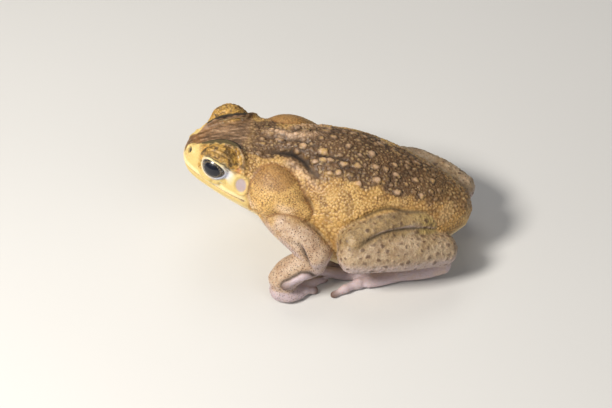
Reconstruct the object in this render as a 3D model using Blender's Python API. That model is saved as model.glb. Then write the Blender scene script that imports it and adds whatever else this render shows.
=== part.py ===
"""A cane toad (Rhinella marina) sitting with its head raised, at life size.

The tables are in millimetres: x to the toad's left, y from the snout back, z up from the floor.
The toad faces -Y. The finished pieces are in metres, with the origin under the middle of their box.
"""

import math
import random

import bpy
import bmesh
import numpy as np
from mathutils import Matrix, Vector
from mathutils.bvhtree import BVHTree

MM = 0.001

# Driving sizes
GAP = 0.32
NECK_Y = 35.5
FLOOR_DEPTH = 30.0
EYE_RADIUS = 6.5
MOUTH_HEIGHT = 0.7
MOUTH_DEPTH = 1.3
WART_SEED = 7
WART_SIDES = 6
WART_ROOT = 0.7
CAP_TURNS = (32.0, 62.0)
SHARP_ANGLE = 50.0
ABOVE_ALL = 90.0
# Boxes wider than the toad: half width, then the reach in y and z
FLOOR_BOX = (90.0, -20.0, 160.0)
TRUNK_BOX = (60.0, -10.0, 150.0, -20.0)

# Trunk and head, one row for each section: y, half width, height of the widest point,
# top, bottom, power of the upper half, power of the lower half, trough depth
TRUNK = [
    (0.8, 5.0, 43.0, 47.4, 39.5, 2.2, 2.2, 0.0),
    (3.0, 8.6, 41.5, 50.2, 37.4, 2.4, 2.3, 0.2),
    (7.0, 11.8, 40.5, 53.0, 35.6, 2.6, 2.5, 0.6),
    (12.0, 14.8, 40.0, 55.4, 34.0, 2.8, 2.7, 1.2),
    (18.0, 18.2, 39.5, 57.2, 32.2, 2.8, 2.8, 1.9),
    (25.0, 21.4, 38.5, 57.8, 29.8, 2.6, 2.7, 1.7),
    (32.0, 23.4, 37.0, 57.0, 26.0, 2.3, 2.5, 0.8),
    (40.0, 24.6, 34.0, 56.6, 20.5, 2.0, 2.3, 0.0),
    (49.0, 26.5, 30.0, 57.2, 13.0, 1.85, 2.1, 0.0),
    (60.0, 30.0, 25.0, 57.8, 6.0, 1.8, 2.0, 0.0),
    (72.0, 33.0, 21.5, 56.4, 1.0, 1.8, 2.0, 0.0),
    (85.0, 32.5, 20.0, 52.0, -1.5, 1.8, 2.0, 0.0),
    (97.0, 28.5, 20.5, 46.6, -0.5, 1.85, 2.0, 0.0),
    (108.0, 22.5, 22.0, 41.0, 5.0, 1.9, 2.0, 0.0),
    (118.0, 15.5, 24.0, 35.0, 12.5, 2.0, 2.0, 0.0),
    (125.5, 8.5, 24.5, 30.6, 18.0, 2.0, 2.0, 0.0),
]
TRUNK_SIDES = 24
TRUNK_RINGS = 26
TROUGH_SHARE = 0.62

# Limb rows: x, y, z, half width, half thickness
UPPER_ARM = [
    (18.0, 42.0, 33.5, 8.5, 8.0),
    (26.0, 48.5, 31.5, 8.2, 7.6),
    (32.5, 57.5, 26.8, 7.4, 7.0),
    (36.0, 64.0, 21.8, 6.9, 6.8),
]
FOREARM = [
    (35.6, 63.0, 18.5, 6.2, 6.2),
    (37.2, 57.6, 16.6, 6.4, 6.4),
    (38.5, 52.2, 12.9, 6.8, 6.6),
    (39.8, 48.5, 8.4, 6.3, 5.6),
]
PALM = [
    (41.6, 47.4, 4.2, 5.6, 4.0),
    (40.2, 50.4, 3.2, 7.2, 3.6),
    (37.4, 53.5, 2.4, 7.4, 3.0),
]
THIGH = [
    (12.0, 107.5, 25.0, 9.0, 9.0),
    (16.5, 101.0, 27.0, 9.8, 9.6),
    (23.5, 90.5, 28.6, 9.6, 9.2),
    (32.5, 79.5, 27.0, 8.4, 8.4),
]
SHANK = [
    (35.5, 79.0, 23.6, 8.0, 8.2),
    (33.0, 88.5, 23.6, 8.6, 8.4),
    (29.5, 99.5, 22.4, 8.5, 8.2),
    (24.5, 110.5, 20.0, 7.6, 7.6),
    (20.5, 117.5, 18.0, 7.0, 7.0),
]
TARSUS = [
    (19.0, 116.5, 9.0, 5.8, 5.4),
    (20.6, 108.0, 5.8, 5.4, 4.8),
    (22.2, 98.5, 4.6, 5.4, 4.4),
]
SOLE = [
    (22.4, 97.5, 3.8, 5.4, 3.6),
    (23.6, 91.0, 3.0, 7.0, 3.2),
    (25.0, 84.5, 2.4, 7.8, 2.6),
]

# The right leg lies lower, with its heel further back
RIGHT_THIGH = [
    (-12.0, 107.5, 20.5, 8.4, 8.4),
    (-16.8, 101.0, 20.5, 8.8, 8.6),
    (-24.5, 90.5, 19.5, 8.4, 8.2),
    (-33.0, 80.5, 18.5, 7.6, 7.6),
]
RIGHT_SHANK = [
    (-36.0, 79.5, 15.5, 7.6, 7.6),
    (-33.5, 88.5, 17.0, 8.2, 8.0),
    (-30.0, 98.0, 20.3, 8.2, 8.0),
    (-24.0, 110.5, 21.2, 7.6, 7.6),
    (-18.8, 121.5, 18.8, 6.9, 6.9),
]
RIGHT_TARSUS = [
    (-17.2, 120.0, 9.0, 5.8, 5.4),
    (-19.6, 110.0, 5.8, 5.4, 4.8),
    (-22.0, 99.5, 4.6, 5.4, 4.4),
]

# Digits: root radius, tip radius, then points from the root to the tip
FINGERS = [
    (2.5, 1.7, (40.2, 53.0, 3.0), (39.0, 58.0, 3.2), (36.6, 62.5, 1.4)),
    (2.4, 1.6, (37.5, 55.0, 3.0), (33.6, 61.0, 3.0), (29.0, 66.0, 1.3)),
    (2.4, 1.5, (34.5, 54.0, 2.8), (28.0, 58.6, 2.8), (22.0, 61.5, 1.3)),
    (2.3, 1.5, (35.0, 51.0, 2.8), (28.6, 51.6, 2.8), (23.0, 52.5, 1.3)),
]
TOES = [
    (2.1, 1.5, (20.0, 87.0, 2.4), (16.0, 81.5, 2.2), (13.5, 78.0, 1.2)),
    (2.2, 1.4, (21.5, 84.0, 2.4), (17.5, 76.0, 2.3), (16.0, 69.0, 1.2)),
    (2.3, 1.4, (23.5, 82.0, 2.4), (20.5, 70.0, 2.4), (20.0, 61.0, 1.2)),
    (2.6, 1.7, (26.0, 82.0, 2.6), (26.2, 72.0, 3.0), (30.2, 64.8, 7.4),
     (41.6, 60.4, 15.6), (44.7, 55.8, 14.8), (45.8, 51.2, 11.2)),
    (2.5, 1.5, (29.0, 84.0, 2.4), (34.0, 77.0, 2.4), (38.0, 71.5, 1.2)),
]
LEG_SIDES = 12
ARM_SIDES = 10
DIGIT_SIDES = 6
DIGIT_RINGS = 4

# Parotoid gland rows, set on the side of the neck
PAROTOID = [
    (20.2, 36.6, 43.4, 10.2, 5.2),
    (20.9, 40.4, 43.8, 11.4, 6.0),
    (21.5, 44.6, 43.2, 10.9, 6.2),
    (22.4, 49.4, 41.0, 8.9, 6.0),
    (23.5, 54.0, 38.4, 6.4, 5.4),
    (24.8, 58.0, 36.2, 4.0, 4.4),
]
PAROTOID_OUT = (0.74, -0.1, 0.67)

EYE = (14.2, 17.2, 50.3)
EYE_LOOKS = (0.93, -0.25, 0.27)
SLIT_REACH = 9.0
SLIT_RADII = (7.5, 6.6, 5.7)
LID = (13.8, 18.0, 49.7)
LID_RADII = (7.8, 9.8, 9.6)
TYMPANUM = (21.0, 28.6, 45.4)
TYMPANUM_OUT = (0.93, -0.2, 0.3)
TYMPANUM_RADII = (1.6, 3.2, 4.2)
NOSTRIL = (5.3, 3.9, 49.6)
NOSTRIL_RADII = (1.4, 0.9, 0.7)
NOSTRIL_LOOKS = (0.8, -0.5, 0.5)
CREST = [
    (4.6, 5.0, 50.2, 1.0, 1.0),
    (6.6, 9.0, 53.9, 1.1, 1.1),
    (7.9, 14.5, 57.4, 1.2, 1.2),
    (8.7, 20.5, 58.9, 1.3, 1.3),
    (10.8, 26.0, 58.2, 1.3, 1.3),
    (15.4, 29.0, 54.8, 1.2, 1.2),
    (19.2, 29.4, 50.6, 1.0, 1.0),
]

# The mouth is a plane that falls towards the jaw; a roll of lip lies along it
MOUTH_FRONT = 43.2
MOUTH_FALL = 0.18
MOUTH_END = 30.5
LIP_RADIUS = 1.2
LIP_RISE = 1.3
LIP_SUNK = 0.6
LIP_FRONT = 0.9
LIP_RINGS = 19
LIP_STATIONS = (2.0, 4.5, 8.0, 12.5, 18.0, 24.0, 29.0)
LIP_TAPER = (1.0, 1.0, 1.0, 1.0, 0.95, 0.8, 0.5)

# Large warts of the left side and the middle of the back: x, y, radius
WARTS = [
    (7.4, 50.1, 2.4), (4.7, 53.7, 2.2), (11.4, 56.8, 1.9), (6.7, 62.7, 2.6),
    (10.3, 63.2, 1.8), (14.6, 70.3, 1.7), (10.7, 72.4, 2.0), (1.2, 72.9, 1.8),
    (9.6, 77.9, 1.9), (1.3, 83.0, 2.3), (7.1, 85.7, 2.3), (12.6, 86.6, 2.1),
    (2.1, 93.2, 1.8), (6.8, 94.6, 1.7), (1.4, 42.5, 2.2), (16.5, 79.0, 1.6),
    (14.0, 96.0, 1.8), (5.0, 103.0, 1.7), (10.5, 106.0, 1.6), (1.0, 110.0, 1.6),
]
WART_HEIGHT = 0.55
WART_SHIFT = 1.4

SKIN_COLOURS = {
    "back": (0.30, 0.20, 0.10),
    "head": (0.42, 0.31, 0.15),
    "gland": (0.55, 0.40, 0.18),
    "limb": (0.42, 0.33, 0.23),
    "digit": (0.50, 0.42, 0.38),
    "drum": (0.45, 0.42, 0.40),
    "eye": (0.02, 0.018, 0.015),
}


def clear_scene():
    for old in list(bpy.data.objects):
        bpy.data.objects.remove(old)


def skin_material(kind):
    """The plain finish of one kind of skin, or of the eye."""
    found = bpy.data.materials.get(kind)
    if found:
        return found
    made = bpy.data.materials.new(kind)
    made.use_nodes = True
    shader = made.node_tree.nodes["Principled BSDF"]
    shader.inputs["Base Color"].default_value = (*SKIN_COLOURS[kind], 1.0)
    shader.inputs["Roughness"].default_value = 0.1 if kind == "eye" else 0.6
    shader.inputs["Metallic"].default_value = 0.0
    return made


def unit(rows):
    rows = np.asarray(rows, float)
    return rows / np.linalg.norm(rows, axis=-1, keepdims=True)


def spline(rows, at):
    """The Catmull-Rom curve through the rows, read at places counted in rows."""
    rows = np.asarray(rows, float)
    last = len(rows) - 1
    at = np.clip(np.asarray(at, float), 0, last)
    k = np.minimum(at.astype(int), last - 1)
    t = (at - k)[:, None]
    padded = np.vstack([2 * rows[0] - rows[1], rows, 2 * rows[-1] - rows[-2]])
    a, b, c, d = padded[k], padded[k + 1], padded[k + 2], padded[k + 3]
    cubic = 3 * b - a - 3 * c + d
    return 0.5 * (2 * b + (c - a) * t + (2 * a - 5 * b + 4 * c - d) * t**2 + cubic * t**3)


def rings_to_mesh(rings, start, end):
    """(points, faces) of rings of points joined in a row and closed by a point at each end."""
    count, sides = rings.shape[:2]
    points = np.vstack([rings.reshape(-1, 3), start, end])
    first, last = count * sides, count * sides + 1
    faces = []
    for j in range(sides):
        k = (j + 1) % sides
        for i in range(count - 1):
            a, b = i * sides, (i + 1) * sides
            faces.append((a + j, a + k, b + k, b + j))
        faces.append((first, k, j))
        faces.append((last, first - sides + j, first - sides + k))
    return points, faces


def tube(rows, up, sides, rings, cap=0.8):
    """A limb through rows of (x, y, z, half width, half thickness), with round ends."""
    line = spline(rows, np.linspace(0, len(rows) - 1, rings))
    centre, half = line[:, :3], line[:, 3:5]
    along = unit(np.gradient(centre, axis=0))
    ends = []
    for end, way in ((0, -1.0), (-1, 1.0)):
        reach = cap * half[end].mean()
        turn = np.radians(CAP_TURNS)
        out = centre[end] + way * along[end] * reach * np.sin(turn)[:, None]
        ends.append((out, half[end] * np.cos(turn)[:, None], centre[end] + way * along[end] * reach))
    (first, first_half, start), (last, last_half, end) = ends
    centre = np.vstack([first[::-1], centre, last])
    half = np.vstack([first_half[::-1], half, last_half])
    extra = len(CAP_TURNS)
    along = np.vstack([along[:1]] * extra + [along] + [along[-1:]] * extra)
    side = unit(np.cross(along, up))
    rise = np.cross(side, along)
    turn = np.linspace(0, 2 * math.pi, sides, endpoint=False)
    across = half[:, None, :1] * np.cos(turn)[None, :, None] * side[:, None]
    over = half[:, None, 1:] * np.sin(turn)[None, :, None] * rise[:, None]
    return rings_to_mesh(centre[:, None] + across + over, start, end)


def trunk_section(row, sides):
    """One section of the head and trunk: a rounded outline with a trough between the crests."""
    y, wide, middle, top, bottom, upper, lower, trough = row
    turn = np.linspace(0, 2 * math.pi, sides, endpoint=False) + math.pi / sides
    c, s = np.cos(turn), np.sin(turn)
    power = np.where(s > 0, upper, lower)
    x = wide * np.sign(c) * np.abs(c) ** (2 / power)
    rise = np.abs(s) ** (2 / power)
    z = np.where(s > 0, middle + (top - middle) * rise, middle - (middle - bottom) * rise)
    dip = np.clip(1 - (x / (TROUGH_SHARE * wide)) ** 2, 0, 1)
    z = z - trough * dip * (s > 0)
    return np.stack([x, np.full(sides, y), z], axis=1)


def trunk():
    rows = spline(TRUNK, np.linspace(0, len(TRUNK) - 1, TRUNK_RINGS))
    rings = np.stack([trunk_section(row, TRUNK_SIDES) for row in rows])
    snout = rings[0].mean(axis=0) - (0, 0.8, 0)
    vent = rings[-1].mean(axis=0) + (0, 2.6, 0)
    points, faces = rings_to_mesh(rings, snout, vent)
    return points, [face[::-1] for face in faces]


def ellipsoid(centre, radii, out, sides=16, rings=9):
    """An ellipsoid whose first radius lies along out, and whose last is as upright as it can be."""
    x = unit(out)
    y = unit(np.cross((0, 0, 1), x))
    z = np.cross(x, y)
    lift = np.linspace(-math.pi / 2, math.pi / 2, rings + 2)[1:-1]
    turn = np.linspace(0, 2 * math.pi, sides, endpoint=False)
    local = np.stack(
        [
            np.repeat(np.sin(lift)[:, None], sides, axis=1),
            np.cos(lift)[:, None] * np.cos(turn),
            np.cos(lift)[:, None] * np.sin(turn),
        ],
        axis=-1,
    ) * np.asarray(radii)
    axes = np.stack([x, y, z])
    rings_at = local @ axes + np.asarray(centre)
    ends = [np.asarray(centre) + way * radii[0] * x for way in (-1, 1)]
    return rings_to_mesh(rings_at, *ends)


def mirrored(shape):
    points, faces = shape
    return points * (-1, 1, 1), [face[::-1] for face in faces]


def solid(name, shape):
    """A closed mesh object in millimetres, with its faces pointing out."""
    mesh = bpy.data.meshes.new(name)
    points, faces = shape
    mesh.from_pydata([tuple(p) for p in points], [], faces)
    made = bpy.data.objects.new(name, mesh)
    bpy.context.scene.collection.objects.link(made)
    tidy = bmesh.new()
    tidy.from_mesh(mesh)
    bmesh.ops.triangulate(tidy, faces=tidy.faces)
    bmesh.ops.recalc_face_normals(tidy, faces=tidy.faces)
    if tidy.calc_volume(signed=True) < 0:
        bmesh.ops.reverse_faces(tidy, faces=tidy.faces)
    tidy.to_mesh(mesh)
    tidy.free()
    return made


def keep_largest(obj):
    """Drops all but the largest closed surface of a mesh."""
    tidy = bmesh.new()
    tidy.from_mesh(obj.data)
    bmesh.ops.triangulate(tidy, faces=tidy.faces)
    left = set(tidy.verts)
    islands = []
    while left:
        island, todo = set(), [left.pop()]
        while todo:
            vert = todo.pop()
            island.add(vert)
            near = {edge.other_vert(vert) for edge in vert.link_edges} & left
            left -= near
            todo.extend(near)
        islands.append(island)

    def volume(island):
        faces = {face for vert in island for face in vert.link_faces}
        return sum(
            face.verts[0].co.dot(face.verts[1].co.cross(face.verts[2].co)) for face in faces
        )

    kept = max(islands, key=volume)
    bmesh.ops.delete(tidy, geom=[v for v in tidy.verts if v not in kept], context="VERTS")
    tidy.to_mesh(obj.data)
    tidy.free()


def combine(obj, others, operation):
    """Joins or cuts obj with other closed meshes, in one Boolean that is applied."""
    group = bpy.data.collections.new("operands")
    for other in others:
        group.objects.link(other)
    step = obj.modifiers.new("combine", "BOOLEAN")
    step.operation = operation
    step.operand_type = "COLLECTION"
    step.collection = group
    step.solver = "EXACT"
    graph = bpy.context.evaluated_depsgraph_get()
    result = bpy.data.meshes.new_from_object(obj.evaluated_get(graph))
    obj.modifiers.clear()
    obj.data = result
    for other in others:
        bpy.data.objects.remove(other)
    bpy.data.collections.remove(group)
    keep_largest(obj)
    return obj


def grown(obj, by=GAP):
    """A copy of a solid with its skin moved out, to cut a neighbour with."""
    mesh = obj.data.copy()
    made = bpy.data.objects.new(obj.name + "_grown", mesh)
    bpy.context.scene.collection.objects.link(made)
    out = [v.normal.copy() for v in mesh.vertices]
    for vert, way in zip(mesh.vertices, out):
        vert.co = vert.co + way * by
    return made


def box(low, high):
    """The corners and faces of an upright box."""
    ends = list(zip(low, high))
    corners = [(x, y, z) for x in ends[0] for y in ends[1] for z in ends[2]]
    faces = [(0, 1, 3, 2), (4, 6, 7, 5), (0, 4, 5, 1), (2, 3, 7, 6), (0, 2, 6, 4), (1, 5, 7, 3)]
    return np.array(corners, float), faces


def clear_of(obj, *neighbours):
    """Cuts obj back so that it keeps the gap to each neighbour."""
    return combine(obj, [grown(near) for near in neighbours], "DIFFERENCE")


def digit(root_radius, tip_radius, *points):
    """A finger or toe through its points, tapering to a round tip."""
    share = np.linspace(0, 1, len(points))
    radius = root_radius + (tip_radius - root_radius) * share
    rows = [(*point, r, r) for point, r in zip(points, radius)]
    return tube(rows, (0, 0, 1), DIGIT_SIDES, DIGIT_RINGS + len(points) - 3, cap=1.0)


def on_both_sides(build):
    """Runs build for the left and the right, with the mirroring for that side."""
    for side, flip in (("left", lambda shape: shape), ("right", mirrored)):
        build(side, flip)


def wart(place, out, radius, height):
    """A low dome that stands on the skin, with its root sunk in it."""
    out = Vector(out)
    turn = out.to_track_quat("Z", "Y").to_matrix()
    rings = []
    for share, level in ((1.0, -WART_ROOT * radius), (0.86, 0.4 * height), (0.46, 0.9 * height)):
        ring = [
            turn @ Vector((math.cos(a) * radius * share, math.sin(a) * radius * share, level))
            for a in (2 * math.pi * k / WART_SIDES for k in range(WART_SIDES))
        ]
        rings.append([tuple(Vector(place) + p) for p in ring])
    ends = [tuple(Vector(place) + out * level) for level in (-WART_ROOT * radius, height)]
    return rings_to_mesh(np.array(rings), *ends)


def wart_places():
    """The large warts, with the side ones repeated on the right a little out of place."""
    draw = random.Random(WART_SEED)
    places = list(WARTS)
    for x, y, radius in WARTS:
        if x > 4.0:
            shift = draw.uniform(-WART_SHIFT, WART_SHIFT), draw.uniform(-WART_SHIFT, WART_SHIFT)
            places.append((-x + shift[0], y + shift[1], radius * draw.uniform(0.85, 1.1)))
    return places


def add_warts(torso, blockers):
    """Fuses the large warts to the back, where neither gland nor leg covers it."""
    graph = bpy.context.evaluated_depsgraph_get()
    skin = BVHTree.FromObject(torso, graph)
    covers = [BVHTree.FromObject(blocker, graph) for blocker in blockers]
    domes = []
    for x, y, radius in wart_places():
        above = Vector((x, y, ABOVE_ALL)), Vector((0, 0, -1))
        place, out, _, _ = skin.ray_cast(*above)
        if place is None or y < NECK_Y + radius + 1.0:
            continue
        near = min(tree.find_nearest(place)[3] for tree in covers)
        hidden = any(tree.ray_cast(*above)[0] for tree in covers)
        if near < radius + 0.8 or hidden:
            continue
        domes.append(solid("dome", wart(place, out, radius, radius * WART_HEIGHT)))
    return combine(torso, domes, "UNION")


def build_limbs(pieces):
    def build(side, flip):
        arm = solid(f"upper_arm_{side}", flip(tube(UPPER_ARM, (0, 0, 1), ARM_SIDES, 6)))
        fore = solid(f"forearm_{side}", flip(tube(FOREARM, (1, 0, 0), ARM_SIDES, 6)))
        hand = solid(f"hand_{side}", flip(tube(PALM, (0, 0, 1), ARM_SIDES, 4)))
        fingers = [solid("finger", flip(digit(*row))) for row in FINGERS]
        combine(hand, fingers, "UNION")
        leg = (THIGH, SHANK, TARSUS) if side == "left" else (RIGHT_THIGH, RIGHT_SHANK, RIGHT_TARSUS)
        thigh = solid(f"thigh_{side}", tube(leg[0], (0, 0, 1), LEG_SIDES, 7))
        shank = solid(f"shank_{side}", tube(leg[1], (0, 0, 1), LEG_SIDES, 8))
        tarsus = solid(f"tarsus_{side}", tube(leg[2], (0, 0, 1), ARM_SIDES, 4))
        foot = solid(f"foot_{side}", flip(tube(SOLE, (0, 0, 1), ARM_SIDES, 4)))
        toes = [solid("toe", flip(digit(*row))) for row in TOES]
        combine(foot, toes, "UNION")
        clear_of(hand, foot)
        clear_of(fore, hand, foot)
        clear_of(arm, fore)
        clear_of(thigh, shank)
        clear_of(tarsus, shank, foot)
        for piece in (arm, fore, hand, thigh, shank, tarsus, foot):
            pieces[piece.name] = piece

    on_both_sides(build)


def mouth_cutter(head):
    """A thin slab along the mouth, less the inside of the head, which leaves a groove all round."""
    wide, front = TRUNK_BOX[:2]
    points, faces = box((-wide, front, -MOUTH_HEIGHT / 2), (wide, MOUTH_END, MOUTH_HEIGHT / 2))
    points[:, 2] += MOUTH_FRONT - MOUTH_FALL * points[:, 1]
    slab = solid("mouth", (points, faces))
    return combine(slab, [grown(head, -MOUTH_DEPTH)], "DIFFERENCE")


def lip():
    """The roll of the upper lip, from one corner of the mouth round the snout to the other."""
    rows = []
    for y, share in zip(LIP_STATIONS, LIP_TAPER):
        _, wide, middle, top, bottom, upper, lower, _ = spline(TRUNK, [trunk_place(y)])[0]
        z = MOUTH_FRONT - MOUTH_FALL * y + LIP_RISE
        reach, power = (top - middle, upper) if z > middle else (middle - bottom, lower)
        x = wide * (1 - min(abs(z - middle) / reach, 1.0) ** power) ** (1 / power)
        radius = LIP_RADIUS * share
        rows.append((x - radius * LIP_SUNK, y, z, radius, radius))
    right = [(-row[0], *row[1:]) for row in reversed(rows)]
    front = (0.0, LIP_FRONT, MOUTH_FRONT + LIP_RISE, LIP_RADIUS, LIP_RADIUS)
    return tube([*right, front, *rows], (0, 0, 1), 5, LIP_RINGS)


def trunk_place(y):
    """Where y lies among the trunk rows, counted in rows."""
    return float(np.interp(y, [row[0] for row in TRUNK], range(len(TRUNK))))


def build_head(pieces, head):
    """Lids, crests, mouth, nostrils, eyes and drums of the head."""
    smooth_head = head.copy()
    smooth_head.data = head.data.copy()
    bpy.context.scene.collection.objects.link(smooth_head)
    groove = mouth_cutter(smooth_head)
    bpy.data.objects.remove(smooth_head)
    raised, cuts = [solid("lip", lip())], [groove]

    def build(side, flip):
        raised.append(solid("lid", flip(ellipsoid(LID, LID_RADII, (1, 0, 0), 12, 7))))
        raised.append(solid("crest", flip(tube(CREST, (0, 0, 1), 6, 10))))
        look = unit(EYE_LOOKS)
        slit = ellipsoid(np.asarray(EYE) + look * SLIT_REACH, SLIT_RADII, look, 12, 5)
        cuts.append(solid("slit", flip(slit)))
        cuts.append(solid("nostril", flip(ellipsoid(NOSTRIL, NOSTRIL_RADII, NOSTRIL_LOOKS, 6, 2))))
        eye = solid(f"eye_{side}", flip(ellipsoid(EYE, (EYE_RADIUS,) * 3, look, 12, 7)))
        drum = solid(f"tympanum_{side}", flip(ellipsoid(TYMPANUM, TYMPANUM_RADII, TYMPANUM_OUT, 10, 3)))
        pieces[eye.name] = eye
        pieces[drum.name] = drum
        cuts.extend([grown(eye), grown(drum)])

    on_both_sides(build)
    combine(head, raised, "UNION")
    combine(head, cuts, "DIFFERENCE")
    pieces["head"] = head


def half_trunk(name, low_y, high_y):
    """The stretch of the trunk between two planes."""
    part = solid(name, trunk())
    wide, _, _, low_z = TRUNK_BOX
    keep = solid("keep", box((-wide, low_y, low_z), (wide, high_y, ABOVE_ALL)))
    return combine(part, [keep], "INTERSECT")


def finish(pieces):
    """Sets every piece on the floor, in metres, with the origin under the middle of the box."""
    kinds = {
        "torso": "back",
        "head": "head",
        "parotoid": "gland",
        "tympanum": "drum",
        "eye": "eye",
        "hand": "digit",
        "foot": "digit",
    }
    for name, piece in pieces.items():
        kind = next((k for word, k in kinds.items() if name.startswith(word)), "limb")
        piece.data.materials.clear()
        piece.data.materials.append(skin_material(kind))
        wide, front, rear = FLOOR_BOX
        floor = solid("floor", box((-wide, front, -FLOOR_DEPTH), (wide, rear, 0.0)))
        combine(piece, [floor], "DIFFERENCE")
    points = np.vstack([[v.co for v in piece.data.vertices] for piece in pieces.values()])
    low, high = points.min(axis=0), points.max(axis=0)
    middle = Vector(((low[0] + high[0]) / 2, (low[1] + high[1]) / 2, low[2]))
    for piece in pieces.values():
        piece.data.transform(Matrix.Scale(MM, 4) @ Matrix.Translation(-middle))
        piece.data.shade_smooth()
        piece.data.set_sharp_from_angle(angle=math.radians(SHARP_ANGLE))


def main():
    clear_scene()
    pieces = {}
    build_limbs(pieces)
    _, front, rear, _ = TRUNK_BOX
    head = half_trunk("head", front, NECK_Y - GAP / 2)
    torso = half_trunk("torso", NECK_Y + GAP / 2, rear)
    build_head(pieces, head)

    def build_gland(side, flip):
        shape = tube(PAROTOID, PAROTOID_OUT, LEG_SIDES, 7, cap=0.6)
        gland = solid(f"parotoid_{side}", flip(shape))
        pieces[gland.name] = gland

    on_both_sides(build_gland)
    glands = [pieces["parotoid_left"], pieces["parotoid_right"]]
    for side, gland in zip(("left", "right"), glands):
        clear_of(gland, head, pieces[f"tympanum_{side}"])
        clear_of(pieces[f"upper_arm_{side}"], gland, head)
    limbs = [piece for name, piece in pieces.items() if name.split("_")[0] in
             ("upper", "forearm", "hand", "thigh", "shank", "tarsus", "foot")]
    add_warts(torso, glands + limbs)
    clear_of(torso, *glands, *limbs)
    pieces["torso"] = torso
    finish(pieces)


main()
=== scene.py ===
"""The looks of the cane toad: one skin over all the nodes of flesh, two eyes, a floor, lights and a camera.

The tables are in millimetres: x to the toad's left, y from the snout back, z up from the floor.
The scene is in metres, in the row frame, with the origin under the middle of the toad's box.
"""

import math

import bmesh
import bpy
import numpy as np
from mathutils import Matrix, Vector
from mathutils.bvhtree import BVHTree
from mathutils.kdtree import KDTree


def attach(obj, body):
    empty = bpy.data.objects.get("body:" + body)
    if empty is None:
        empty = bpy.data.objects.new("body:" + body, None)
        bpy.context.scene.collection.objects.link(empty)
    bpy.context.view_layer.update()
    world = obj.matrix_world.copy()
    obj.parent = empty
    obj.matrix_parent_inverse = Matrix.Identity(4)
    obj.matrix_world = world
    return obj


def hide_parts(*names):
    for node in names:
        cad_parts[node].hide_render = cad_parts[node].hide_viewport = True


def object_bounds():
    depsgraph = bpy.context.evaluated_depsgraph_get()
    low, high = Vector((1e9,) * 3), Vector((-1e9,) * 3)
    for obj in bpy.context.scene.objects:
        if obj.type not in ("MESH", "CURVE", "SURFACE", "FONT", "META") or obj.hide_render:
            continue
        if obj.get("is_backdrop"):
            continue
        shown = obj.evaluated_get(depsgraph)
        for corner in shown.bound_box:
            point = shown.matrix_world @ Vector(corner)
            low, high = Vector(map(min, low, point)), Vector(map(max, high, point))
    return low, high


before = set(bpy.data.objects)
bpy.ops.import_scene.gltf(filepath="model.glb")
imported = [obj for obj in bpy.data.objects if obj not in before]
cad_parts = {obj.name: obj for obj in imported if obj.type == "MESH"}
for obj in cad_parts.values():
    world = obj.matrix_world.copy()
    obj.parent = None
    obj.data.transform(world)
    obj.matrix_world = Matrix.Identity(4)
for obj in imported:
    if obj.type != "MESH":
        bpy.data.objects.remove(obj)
cad_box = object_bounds()

MM = 0.001
UPRIGHT = (0, 0, 1)
# The middle of the toad's box along the body, and a height that nothing reaches
ORIGIN_Y = 63.9
ABOVE_ALL = 90
# Random draws, and the number of waves in a random field
SEED = 11
WAVES = 9

# The net of the skin: its size, how far its joins are eased, and its UV map
VOXEL = 0.62
SMOOTH_ROUNDS = 18
SMOOTH_SHARES = (0.62, -0.35)
KIND_ROUNDS = 3
DIGIT_CALM = 0.75
UV_ANGLE = math.radians(66)
UV_MARGIN = 0.002

# Turns of the rings of a limb's round ends, and the net of the trunk
CAP_TURNS = np.radians(np.linspace(12, 80, 8))
TRUNK_SIDES = 160
TRUNK_RINGS = 200
SNOUT_CAP = 0.8
VENT_CAP = 2.6

# Trunk and head, one row for each section: y, half width, height of the widest point,
# top, bottom, power of the upper half, power of the lower half, trough depth
TRUNK = [
    (0.8, 5, 43, 47.4, 39.5, 2.2, 2.2, 0),
    (3, 8.6, 41.5, 50.2, 37.4, 2.4, 2.3, 0.2),
    (7, 11.8, 40.5, 53, 35.6, 2.6, 2.5, 0.6),
    (12, 14.8, 40, 55.4, 34, 2.8, 2.7, 1.2),
    (18, 18.2, 39.5, 57.2, 32.2, 2.8, 2.8, 1.9),
    (25, 21.4, 38.5, 57.8, 29.8, 2.6, 2.7, 1.7),
    (32, 23.4, 37, 57, 26, 2.3, 2.5, 0.8),
    (40, 24.6, 34, 56.6, 20.5, 2, 2.3, 0),
    (49, 26.5, 30, 57.2, 13, 1.85, 2.1, 0),
    (60, 30, 25, 57.8, 6, 1.8, 2, 0),
    (72, 33, 21.5, 56.4, 1, 1.8, 2, 0),
    (85, 32.5, 20, 52, -1.5, 1.8, 2, 0),
    (97, 28.5, 20.5, 46.6, -0.5, 1.85, 2, 0),
    (108, 22.5, 22, 41, 5, 1.9, 2, 0),
    (118, 15.5, 24, 35, 12.5, 2, 2, 0),
    (125.5, 8.5, 24.5, 30.6, 18, 2, 2, 0),
]
TROUGH_SHARE = 0.62

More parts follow.
